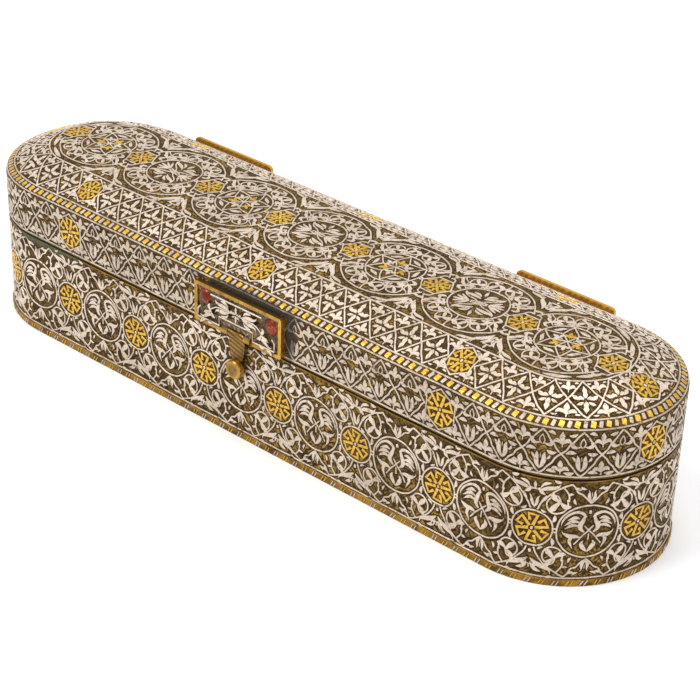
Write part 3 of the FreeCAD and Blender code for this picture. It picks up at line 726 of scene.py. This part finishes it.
def annulus_quarter(pen):
    """Scrolls in the ring right of and above a medallion; mirrored to the other three."""
    for angle, sweep in ((52, 300), (76, -300)):
        scroll(pen.at(*polar(SCROLL_REACH, angle), turn=angle), 1.95, 200 if sweep > 0 else 20, sweep)
    for angle in (40, 64):
        pen.plant((SPRIG, *polar(SPRIG_REACH, angle), angle - 90, 0.7, 0.05))
    pen.line(((6.3, 3.6), (7.3, 4.5), (7.6, 6.1), (8.9, 7.0), (9.6, 7.9)), half=0.17)
    pen.plant((TREFOIL, 7.3, 4.2, -52, 1.1, 0.05), (LEAF, 8.7, 5.9, -40, 0.95, 0.05),
              (LEAF, 6.9, 2.5, -70, 0.7, 0.05), (LEAF, 10.4, 6.3, -75, 0.75, 0.05))


def spandrel(pen):
    """Leaves in the gap between two medallions, drawn for the back side; x is from its middle."""
    pen.plant_both((HALF_LEAF, 0.9, 8.2, 50, 1.2, 0), (HALF_LEAF, 3.7, 12.0, 14, 0.85, 0))
    pen.plant((TULIP, 0, 8.9, 0, 0.95, 0.03), (TREFOIL, 0, 12.0, 0, 0.7, 0.03))


def draw_panel(pen):
    for k in range(-3, 4):
        medallion = pen.at(k * MEDALLION_PITCH, 0)
        medallion.ring(INNER_RING)
        (garden if k % 2 == 0 else star)(medallion.at(turn=7 * k))
        for start in (OUTER_START, OUTER_START + 180):
            medallion.ring(OUTER_RING, start=start, stop=start + 180 - 2 * OUTER_START)
        for half in medallion.turned():
            for quarter in half.mirrored():
                annulus_quarter(quarter)
            half.line(((0, 7.0), (-0.35, 8.4), (0.35, 10.2), (0, 12.1)), half=0.19)
    for k in range(-4, 4):
        gap = pen.at((k + 0.5) * MEDALLION_PITCH, 0)
        hexagon(gap, PANEL_HEXAGON, 1.0, pointed_up=False)
        for side in (-1, 1):
            tie(gap, side * (MEDALLION_PITCH / 2 - INNER_RING + PANEL_HEXAGON) / 2)
            for up in (1, -1):
                gap.line([(side * x, up * y) for x, y in ((2.0, 3.3), (1.6, 4.6), (0.35, 5.0))], half=0.19)
        if -4 < k < 3:
            for half in gap.turned():
                spandrel(half)
    for end in (pen.at(3 * MEDALLION_PITCH), pen.at(-3 * MEDALLION_PITCH, turn=180)):
        for side in (1, -1):
            for start, stop in ((20, 46), (50, 76)):
                leaf = []
                for share, half in ((0, 0.08), (0.3, 0.45), (0.7, 0.5), (1, 0.06)):
                    leaf.append((*polar(END_LEAF_REACH, side * (start + (stop - start) * share)), half))
                end.stroke(leaf)


# ---- foot rim and front plate

RIM_PROUD = (rim_high[1] - rim_low[1]) / 2 - RADIUS


def rim_point(s, z, height):
    return wall_point(s, z, height + RIM_PROUD)


def draw_rim(pen):
    pairs = 76
    for k in range(2 * pairs):
        metal = "gold" if k % 2 else "silver"
        here = pen.at(PERIMETER * k / (2 * pairs), RIM_TOP / 2, loose=0.08)
        for side in (-0.42, 0.42):
            points = [(side - 0.3, -0.6, 0.11), (side, 0, 0.13), (side + 0.3, 0.6, 0.11)]
            here.stroke(points, metal, sharp=True)


def draw_plate(pen):
    """A silver line inside the border that stops at the rivets and steps over the knuckle, and a
    flower with split leaves."""
    side, low, high = plate_high[0] - 1.6, plate_low[2] + 1.6, plate_high[2] - 1.6
    step_side, step_top = 5.2, plate_low[2] + 3.9
    rivet = 2.35
    rivet_x, rivet_z = RIVET_PLACE
    pen.stroke([(-rivet_x + rivet, high, 0.2), (rivet_x - rivet, high, 0.2)], sharp=True)
    for end in (-1, 1):
        corner = [(rivet_x + 0.9, rivet_z - rivet), (side, rivet_z - rivet - 0.9), (side, low),
                  (step_side, low), (step_side, step_top), (0, step_top)]
        pen.stroke([(end * x, z, 0.2) for x, z in corner], sharp=True)
    middle = (step_top + high) / 2
    pen.plant((QUATREFOIL, 0, middle, 0, 0.66, 0))
    for mirror in (False, True):
        half = pen.at(0, middle, mirror=mirror)
        half.plant((HALF_LEAF, 2.0, 0.1, 6, 0.95, 0))
        half.at(2.0, -0.2, turn=174, size=0.95, mirror=True).shape(HALF_LEAF)
        half.line(((1.3, 0), (3.4, -0.05), (6.0, -0.3), (8.0, -1.6)), half=0.15)
        half.plant((TREFOIL, 7.7, -1.9, -118, 1.0, 0), (HALF_LEAF, 7.4, -2.9, -28, 0.8, 0),
                   (LEAF, 7.2, -4.7, -90, 0.9, 0), (LEAF, 11.2, -5.9, 60, 0.9, 0))


# ---- shader helpers

class Shader:
    """One material, and a short way to write its nodes."""

    def __init__(self, name):
        self.material = bpy.data.materials.new(name)
        self.material.use_nodes = True
        self.tree = self.material.node_tree
        self.surface = self.tree.nodes["Principled BSDF"]
        self.coordinates = self.tree.nodes.new("ShaderNodeTexCoord").outputs

    def fill(self, target, values):
        """Links each input to its value if that is an output of a node, and sets it otherwise."""
        for key, value in values.items():
            if isinstance(value, bpy.types.NodeSocket):
                self.tree.links.new(value, target.inputs[key])
            else:
                target.inputs[key].default_value = value

    def node(self, kind, values, output, **settings):
        """Adds a node and returns one of its outputs."""
        made = self.tree.nodes.new(kind)
        for name, value in settings.items():
            setattr(made, name, value)
        self.fill(made, values)
        return made.outputs[output]

    def noise(self, scale, detail=3.0, rough=0.5, vector=None):
        values = {"Scale": scale, "Detail": detail, "Roughness": rough,
                  "Vector": vector or self.coordinates["Object"]}
        return self.node("ShaderNodeTexNoise", values, "Fac")

    def mapped(self, setting, value, vector=None):
        """Coordinates with one of a mapping's settings, Scale or Rotation, given a value."""
        values = {setting: value, "Vector": vector or self.coordinates["Object"]}
        return self.node("ShaderNodeMapping", values, "Vector")

    def ramp(self, source, low, high, start=0.0, stop=1.0):
        """source taken from low..high to start..stop, held at both ends."""
        values = {"Value": source, "From Min": low, "From Max": high, "To Min": start, "To Max": stop}
        return self.node("ShaderNodeMapRange", values, "Result")

    def maths(self, operation, first, second=0.0):
        return self.node("ShaderNodeMath", {0: first, 1: second}, "Value", operation=operation)

    def vector_maths(self, operation, first, second, output="Vector"):
        return self.node("ShaderNodeVectorMath", {0: first, 1: second}, output, operation=operation)

    def mix(self, share, first, second):
        """The colour first, going over to second where share is 1."""
        first, second = [(*c, 1.0) if isinstance(c, tuple) else c for c in (first, second)]
        return self.node("ShaderNodeMix", {0: share, 6: first, 7: second}, 2, data_type="RGBA")

    def axis(self, name, output="Object"):
        return self.node("ShaderNodeSeparateXYZ", {"Vector": self.coordinates[output]}, name)

    def finish(self, tone, rough, relief, depth, **constants):
        """Joins up the surface: colour, roughness, a relief with its depth in metres, and values that
        are the same all over. Returns the material."""
        normal = self.node("ShaderNodeBump", {"Distance": depth, "Height": relief}, "Normal")
        self.fill(self.surface, {"Base Color": tone, "Roughness": rough, "Normal": normal})
        self.fill(self.surface, {name.replace("_", " "): value for name, value in constants.items()})
        return self.material


VERDIGRIS = (0.078, 0.094, 0.055)
PATINA_AND_PLATE_SHADOW = (0.034, 0.027, 0.022)

# light, middle and dark tones of the metals
SILVER = ((0.71, 0.595, 0.485), (0.57, 0.465, 0.365), (0.25, 0.19, 0.135))
TARNISHED = ((0.59, 0.485, 0.385), (0.44, 0.355, 0.275), (0.18, 0.14, 0.1))
GOLD = ((0.76, 0.48, 0.07), (0.62, 0.36, 0.05), (0.28, 0.15, 0.035))
COPPER = ((0.62, 0.26, 0.13), (0.27, 0.05, 0.02), (0.1, 0.02, 0.01))
BRASS = (0.6, 0.335, 0.05)
DULL_BRASS = (0.29, 0.15, 0.024)
BRIGHT_BRASS = (0.66, 0.37, 0.07)

# what darkens or wears the brass, some of it painted shade
STAIN = (0.06, 0.03, 0.01)
FILE_MARK = (0.085, 0.052, 0.022)
STRIPE = (0.06, 0.036, 0.016)
LEAF_LINE = (0.04, 0.024, 0.01)
DISH_SHADE = (0.15, 0.092, 0.032)
PLATE_TOP = (0.075, 0.048, 0.022)
SEAM_FACE_SHADE = (0.06, 0.038, 0.018)
GROUND_TONES = ((0.046, 0.026, 0.009), (0.108, 0.06, 0.016))
GROUND_STROKE = (0.026, 0.016, 0.008)
GROUND_WORN = (0.42, 0.245, 0.05)
# tones of the cut: dark filling and painted shadow beside the inlay
CUT_AND_SHADE_TONES = ((0.034, 0.019, 0.007), (0.074, 0.042, 0.012))
CUT_WORN = (0.2, 0.115, 0.028)

WEAK_STAINS = 0.5       # stains below this share have soft edges
FINE_RELIEF = 0.00006   # metres
RELIEF = 0.00008
NO_SHINE = {"Specular_IOR_Level": 0.05}


def spot(look, centre, reach):
    """1 near a point and 0 further off than reach, with a ragged edge. Both are in millimetres."""
    moved = look.vector_maths("SUBTRACT", look.coordinates["Object"], [c * MM for c in centre])
    scaled = look.vector_maths("DIVIDE", moved, [r * MM for r in reach])
    length = look.vector_maths("LENGTH", scaled, (0.0, 0.0, 0.0), "Value")
    wander = look.ramp(look.noise(260, detail=3), 0.3, 0.7, -0.3, 0.3)
    return look.ramp(look.maths("ADD", length, wander), 0.65, 1.0, 1.0, 0.0)


def weathered_and_shaded(look, tone, share):
    """Green corrosion along the split at the left front, and dark patina with a painted shadow of the front
    plate, above the plate and beside its right edge.
    """
    green = spot(look, (-68, -RADIUS + 0.5, 25.9), (15, 4, 1.5))
    green = look.maths("MULTIPLY", green, look.ramp(look.noise(700, detail=3), 0.35, 0.62, 0.25, 0.95))
    tone = look.mix(look.maths("MULTIPLY", green, share), tone, VERDIGRIS)
    # painted shadow of the front plate, mixed with patina: a dark strip above the plate and one beside its
    # right edge
    above = spot(look, (0.5, -RADIUS, plate_high[2] + 0.7), (17.5, 2.5, 1.5))
    beside = spot(look, (plate_high[0] + 1.6, -RADIUS, plate_high[2] - 5.0), (2.3, 2.0, 7.5))
    return look.mix(look.maths("MULTIPLY", look.maths("MAXIMUM", above, beside), share), tone, PATINA_AND_PLATE_SHADOW)


def metal_look(name, tones, metallic, rough):
    """A worked metal: three tones in patches and specks, fine scratches, uneven polish."""
    look = Shader(name)
    light, middle, dark = tones
    patches = look.noise(140, detail=4, rough=0.6)
    specks = look.noise(1500, detail=2)
    tone = look.mix(look.ramp(patches, 0.36, 0.6), middle, light)
    tone = look.mix(look.ramp(specks, 0.54, 0.74), tone, dark)
    tone = look.mix(look.ramp(look.noise(34, detail=5, rough=0.7), 0.54, 0.7, 0.0, 0.45), tone, dark)
    scratches = look.noise(900, detail=3, vector=look.mapped("Scale", (1.0, 1.0, 5.0)))
    uneven = look.ramp(scratches, 0.3, 0.75, rough - 0.08, rough + 0.14)
    return look.finish(weathered_and_shaded(look, tone, 0.85), uneven, look.maths("ADD", scratches, specks),
                       FINE_RELIEF, Metallic=metallic)


def groove_and_shade_look():
    """The dark filling in the cuts beside the inlay, which also serves as painted shadow along the metal's
    edges.
    """
    look = Shader("cut_filling_and_shade")
    patches = look.noise(220, detail=4)
    strokes = look.noise(1900, detail=2)
    tone = look.mix(look.ramp(patches, 0.4, 0.68), *CUT_AND_SHADE_TONES)
    tone = look.mix(look.ramp(strokes, 0.6, 0.74), tone, CUT_WORN)
    rough = look.ramp(strokes, 0.2, 0.8, 0.45, 0.75)
    return look.finish(weathered_and_shaded(look, tone, 0.7), rough, strokes, FINE_RELIEF, Metallic=0.0, **NO_SHINE)


def hypotenuse(look, first, second):
    """The length of a line with these two sides."""
    squares = [look.maths("MULTIPLY", value, value) for value in (first, second)]
    return look.maths("SQRT", look.maths("ADD", *squares))


def inside_share(look, depth):
    """1 where a point of an upright wall is further than depth inside RADIUS."""
    x = look.maths("ABSOLUTE", look.axis("X"))
    over = look.maths("MAXIMUM", look.maths("SUBTRACT", x, STRAIGHT * MM), 0.0)
    reach = hypotenuse(look, over, look.axis("Y"))
    return look.ramp(reach, (RADIUS - depth - 0.02) * MM, (RADIUS - depth + 0.02) * MM, 1.0, 0.0)


LONG_STROKE = (1.0, 1.0, 0.28)


def chased_tone(look):
    """Brown patinated brass under short chased strokes that catch gold where it is worn.
    Returns the tone and the strokes."""
    hatchings = []
    for scale, turn in ((2100, (0.0, 0.7, 0.3)), (1900, (0.5, -0.9, 0.2))):
        vector = look.mapped("Scale", LONG_STROKE, look.mapped("Rotation", turn))
        hatchings.append(look.ramp(look.noise(scale, detail=1, vector=vector), 0.36, 0.64))
    swap = look.ramp(look.noise(330, detail=1), 0.47, 0.53)
    strokes = look.node("ShaderNodeMix", {0: swap, 2: hatchings[0], 3: hatchings[1]}, 0, data_type="FLOAT")
    patches = look.noise(75, detail=4, rough=0.6)
    tone = look.mix(look.ramp(patches, 0.38, 0.62), *GROUND_TONES)
    tone = look.mix(look.ramp(strokes, 0.15, 0.45, 0.75, 0.0), tone, GROUND_STROKE)
    worn = look.ramp(look.noise(48, detail=5, rough=0.65), 0.44, 0.62, 0.14, 0.85)
    tone = look.mix(look.maths("MULTIPLY", look.ramp(strokes, 0.5, 0.85), worn), tone, GROUND_WORN)
    return tone, strokes


def brass_tone(look, tint=1.0, stains=0.25):
    """Yellow brass with tarnish in patches, brown stains and dark specks. Weak stains get soft edges.
    Returns the tone and the file marks."""
    marks = look.noise(1300, detail=2, vector=look.mapped("Scale", (4.0, 1.0, 0.5)))
    light, dull = [tuple(c * tint for c in tone) for tone in (BRASS, DULL_BRASS)]
    tone = look.mix(look.ramp(look.noise(130, detail=5, rough=0.65), 0.38, 0.64), light, dull)
    soft = 0.1 if stains < WEAK_STAINS else 0.0
    stained = look.ramp(look.noise(210, detail=5, rough=0.65), 0.48 - soft, 0.6 + 2 * soft, 0.0, stains)
    tone = look.mix(stained, tone, STAIN)
    tone = look.mix(look.ramp(marks, 0.56, 0.74), tone, FILE_MARK)
    return tone, marks


def ground_look(name, inside, highlight_bands=()):
    """The chased ground outside; dull brass inside, painted shade on the flat top and bottom faces of
    upright walls, and painted highlights of bright brass in bands of z, given as (low, high)."""
    look = Shader(name)
    tone, strokes = chased_tone(look)
    brass = brass_tone(look, 0.5)[0]
    z = look.axis("Z")
    # painted highlight: bright brass in each band of z
    for low, high in highlight_bands:
        above = look.ramp(z, (low - 0.05) * MM, (low + 0.1) * MM)
        below = look.ramp(z, (high - 0.1) * MM, (high + 0.05) * MM, 1.0, 0.0)
        tone = look.mix(look.maths("MULTIPLY", above, below), tone, brass)
    up = look.axis("Z", "Normal")
    if inside == "wall":
        tone = look.mix(inside_share(look, 0.4), tone, brass)
        # painted shade: the flat top and bottom faces of the upright walls, seen in the seam gap, are
        # darkened
        flat = look.ramp(look.maths("ABSOLUTE", up), 0.6, 0.8)
        tone = look.mix(flat, tone, SEAM_FACE_SHADE)
    elif inside == "under":
        tone = look.mix(look.ramp(up, -0.05, 0.0, 1.0, 0.0), tone, brass)
    rough = look.ramp(strokes, 0.0, 1.0, 0.62, 0.4)
    return look.finish(weathered_and_shaded(look, tone, 0.9), rough, strokes, RELIEF, Metallic=0.2, **NO_SHINE)


def brass_look(name, tint=1.0, striped=False, dished=None, stains=0.25):
    """Plain brass; striped has dark chased lines across it, and dished is the (x, z) centre and
    the radius of a front face with a hollow worn in its middle, darkened there as painted shade."""
    look = Shader(name)
    tone, marks = brass_tone(look, tint, stains)
    relief = marks
    if striped:
        values = {"Scale": 430, "Distortion": 2.0, "Detail": 1.5, "Detail Scale": 0.6,
                  "Vector": look.mapped("Rotation", (0.0, 0.5, 0.0))}
        lines = look.node("ShaderNodeTexWave", values, "Fac", bands_direction="DIAGONAL")
        tone = look.mix(look.ramp(lines, 0.25, 0.6, 0.8, 0.0), tone, STRIPE)
    if dished:
        x, z, radius = dished
        across, up = [
            look.maths("MULTIPLY", look.maths("SUBTRACT", look.axis(name), centre * MM), 1 / (radius * MM))
            for name, centre in (("X", x), ("Z", z))]
        reach = hypotenuse(look, across, up)
        hollow = look.ramp(reach, 0.3, 0.85)
        # painted shade darkening the middle of the knob's hollow
        tone = look.mix(look.ramp(reach, 0.45, 0.8, 0.75, 0.0), tone, DISH_SHADE)
        relief = look.maths("ADD", look.maths("MULTIPLY", marks, 0.15), look.maths("MULTIPLY", hollow, 6.0))
    return look.finish(tone, look.ramp(marks, 0.25, 0.75, 0.24, 0.46), relief, RELIEF, Metallic=0.9)


def from_value(look, source, value):
    """How far a length in metres is from a value in millimetres."""
    return look.maths("ABSOLUTE", look.maths("SUBTRACT", source, value * MM))


def leaf_look():
    """The hinge leaves: dull brass with two chased lines inside their edges."""
    look = Shader("hinge_leaf_brass")
    tone, marks = brass_tone(look, 0.55, 0.4)
    low, high = box_mm("right_lid_leaf")
    axis_height = (BASE_TOP + LID_BOTTOM) / 2
    along = from_value(look, look.maths("ABSOLUTE", look.axis("X")), (low[0] + high[0]) / 2)
    up = from_value(look, look.axis("Z"), axis_height)
    inside = look.maths("MINIMUM", look.maths("SUBTRACT", (high[0] - low[0]) / 2 * MM, along),
                        look.maths("SUBTRACT", (high[2] - axis_height) * MM, up))
    inside = look.maths("ADD", inside, look.ramp(look.noise(120), 0.3, 0.7, -0.12 * MM, 0.12 * MM))
    lines = 0.0
    for place in (1.1, 1.9):
        line = look.ramp(from_value(look, inside, place), 0.1 * MM, 0.24 * MM, 1.0, 0.0)
        lines = look.maths("MAXIMUM", lines, line)
    outer_face = look.ramp(look.axis("Y", "Normal"), 0.5, 0.8)
    lines = look.maths("MULTIPLY", lines, outer_face)
    tone = look.mix(outer_face, BRIGHT_BRASS, tone)
    tone = look.mix(look.maths("MULTIPLY", lines, 0.85), tone, LEAF_LINE)
    relief = look.maths("SUBTRACT", look.maths("MULTIPLY", marks, 0.3), lines)
    return look.finish(tone, look.ramp(marks, 0.25, 0.75, 0.3, 0.52), relief, 0.00012, Metallic=0.85)


def plate_look():
    """The front plate: a brass border round a chased dark field."""
    look = Shader("front_plate")
    brass, marks = brass_tone(look)
    ground = chased_tone(look)[0]
    border = 0.9
    edge = 0.05
    side, bottom, top = plate_high[0] - border, plate_low[2] + border, plate_high[2] - border
    sunk = look.ramp(look.axis("Y"), (PLATE_FIELD - 0.2) * MM, (PLATE_FIELD - 0.08) * MM)
    within = look.ramp(look.maths("ABSOLUTE", look.axis("X")), side * MM, (side + edge) * MM, 1.0, 0.0)
    below = look.ramp(look.axis("Z"), top * MM, (top + edge) * MM, 1.0, 0.0)
    above = look.ramp(look.axis("Z"), (bottom - edge) * MM, bottom * MM)
    field = sunk
    for share in (within, below, above):
        field = look.maths("MULTIPLY", field, share)
    up = look.ramp(look.axis("Z", "Normal"), 0.4, 0.7, 0.0, 0.85)
    tone = look.mix(up, look.mix(field, brass, ground), PLATE_TOP)
    return look.finish(tone, look.ramp(marks, 0.25, 0.75, 0.26, 0.5), marks, RELIEF,
                       Metallic=look.ramp(field, 0.0, 1.0, 0.85, 0.15))


def copper_look():
    """Dark copper, bright in specks."""
    look = Shader("copper_rivets")
    bright, clean, dark = COPPER
    tarnish = look.noise(420, detail=4)
    tone = look.mix(look.ramp(tarnish, 0.36, 0.66), clean, dark)
    tone = look.mix(look.ramp(look.noise(2300, detail=2), 0.6, 0.74), tone, bright)
    return look.finish(tone, look.ramp(tarnish, 0.3, 0.7, 0.18, 0.4), tarnish, 0.0003, Metallic=0.8)


# ---- making the pieces

looks = {
    "silver": metal_look("silver_inlay", SILVER, 0.5, 0.42),
    "tarnished": metal_look("tarnished_silver", TARNISHED, 0.5, 0.42),
    "gold": metal_look("gold_inlay", GOLD, 0.75, 0.34),
    "cut": groove_and_shade_look(),
}


def add_object(name, data):
    made = bpy.data.objects.new(name, data)
    bpy.context.scene.collection.objects.link(made)
    return made


def add_pieces(name, body, ground, silver="silver"):
    """Makes a silver and a gold piece from what was drawn on a ground. silver is the look of the
    silver one."""
    for metal, inlay in ground.inlays.items():
        if not inlay.quads:
            continue
        mesh = bpy.data.meshes.new(f"{name}_{metal}")
        mesh.from_pydata(inlay.corners, [], inlay.quads)
        mesh.materials.append(looks[silver if metal == "silver" else metal])
        mesh.materials.append(looks["cut"])
        mesh.polygons.foreach_set("material_index", inlay.looks)
        mesh.update()
        piece = add_object(f"{name}_{metal}", mesh)
        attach(piece, body)


def covered_by(*nodes, round_plate=0.0):
    """A test for wall positions that lie under any of these nodes, or within round_plate of the
    front plate, where the inlay is left out and the ground is darkened with patina and painted shadow."""
    areas = []
    for node in nodes:
        low, high = box_mm(node)
        more = round_plate if node == "hasp_plate" else 0.0
        areas.append((low[0] - more * 0.3, high[0] + more, low[2], high[2] + more, (low[1] + high[1]) > 0))

    def covered(s, z):
        x, dx, dy = around(s)
        if dx:
            return False
        return any(x0 < x < x1 and z0 < z < z1 and back == (dy > 0) for x0, x1, z0, z1, back in areas)
    return covered


base_front_ground = Ground(wall_point)
base_back_ground = Ground(wall_point, covered_by("left_base_leaf", "right_base_leaf"))
draw_base_wall(base_front_ground, base_back_ground)
add_pieces("base_front_inlay", "base", base_front_ground)
add_pieces("base_back_inlay", "base", base_back_ground)

lid_covered = covered_by("left_lid_leaf", "right_lid_leaf", "hasp_plate", round_plate=2.2)
for name, body, draw, ground, silver in (
        ("foot_rim_inlay", "base", draw_rim, Ground(rim_point, wander=0.08, cut=0.08), "silver"),
        ("lid_wall_inlay", "lid", draw_lid_wall, Ground(lid_wall_point, lid_covered), "tarnished"),
        ("lid_border_inlay", "lid", draw_border, Ground(dome_point, wander=0.08), "tarnished"),
        ("lid_slope_inlay", "lid", draw_slope, Ground(slope_place, wander=0.18), "silver"),
        ("lid_panel_inlay", "lid", draw_panel, Ground(panel_point), "silver"),
        ("front_plate_inlay", "lid", draw_plate, Ground(plate_point, wander=0.06, cut=0.14), "silver")):
    draw(Pen(ground))
    add_pieces(name, body, ground, silver)


# ---- materials of the CAD nodes

plain = brass_look("plain_brass")
dull = brass_look("dull_brass", 0.45)
# painted shade: the inner lip, seen through the seam gap, is given dark brass
dark = brass_look("lip_shade_brass", 0.28)
node_looks = {
    # bands of painted highlight along the base's top edge, the lid wall's bottom edge and the lid's
    # shoulder
    "base_wall": ground_look("chased_brass_base", "wall", ((BASE_TOP - 0.3, BASE_TOP + 1),)),
    "lid_wall": ground_look("chased_brass_lid_wall", "wall", ((LID_BOTTOM - 1, LID_BOTTOM + 0.3),)),
    "lid_top": ground_look("chased_brass_lid_top", "under", ((SEAM + 1.15, SEAM + 1.4),)),
    "hasp_plate": plate_look(),
    "hasp_rivet_1": copper_look(),
    "base_rim": brass_look("rim_brass", 0.66, stains=0.85),
    "hasp_tongue": brass_look("tongue_brass", 0.6, striped=True),
    "hasp_knob": brass_look("knob_brass", 1.1, dished=KNOB),
    "base_floor": dull,
    "inner_lip": dark,
}
node_looks["hasp_rivet_2"] = node_looks["hasp_rivet_1"]
leaf_brass = leaf_look()
for side in ("left", "right"):
    for half in ("base", "lid"):
        node_looks[f"{side}_{half}_leaf"] = leaf_brass

for name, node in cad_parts.items():
    for material_slot in node.material_slots:
        material_slot.material = node_looks.get(name, plain)


# ---- floor, light and camera

LIGHT_AIM = Vector((0, 0, 0.02))


def make_floor():
    half = 3.0
    mesh = bpy.data.meshes.new("floor")
    corners = [(-half, -half, 0), (half, -half, 0), (half, half, 0), (-half, half, 0)]
    mesh.from_pydata(corners, [], [(0, 1, 2, 3)])
    floor = add_object("floor", mesh)
    look = Shader("pale_floor")
    tone = look.mix(look.noise(3.0, detail=2), (0.93, 0.93, 0.93), (0.97, 0.97, 0.97))
    look.fill(look.surface, {"Base Color": tone, "Roughness": 0.85})
    mesh.materials.append(look.material)


def make_light(name, position, width, power):
    lamp = bpy.data.lights.new(name, "AREA")
    lamp.shape = "DISK"
    lamp.size = width
    lamp.energy = power
    holder = add_object(name, lamp)
    holder.location = position
    holder.rotation_euler = (Vector(position) - LIGHT_AIM).to_track_quat("Z", "Y").to_euler()


def make_world():
    world = bpy.data.worlds.new("soft_studio")
    world.use_nodes = True
    background = world.node_tree.nodes["Background"]
    background.inputs["Color"].default_value = (1.0, 1.0, 1.0, 1.0)
    background.inputs["Strength"].default_value = 0.8
    bpy.context.scene.world = world


def make_camera():
    """The photograph's view: over the right front corner, from a little above."""
    azimuth, elevation, roll = 0.71073, 0.52678, 0.033615
    aim = Vector((15.4, -5.2, 21.3)) * MM
    distance = 439.5 * MM
    back = Vector((math.sin(azimuth) * math.cos(elevation), -math.cos(azimuth) * math.cos(elevation),
                   math.sin(elevation)))
    camera = add_object("camera", bpy.data.cameras.new("camera"))
    camera.data.lens = 99.0
    camera.data.sensor_width = 36.0
    camera.data.clip_start = 0.01
    camera.rotation_mode = "QUATERNION"
    camera.rotation_quaternion = back.to_track_quat("Z", "Y") @ Quaternion((0, 0, 1), roll)
    camera.location = aim + distance * back
    bpy.context.scene.camera = camera


make_floor()
make_world()
make_light("key", (-0.5, -0.8, 1.4), 0.9, 15)
make_light("fill", (1.3, -0.5, 0.7), 0.9, 2)
make_light("overhead", (0.1, 0.3, 1.5), 1.0, 8.3)
make_camera()
bpy.context.scene.view_settings.view_transform = "Standard"
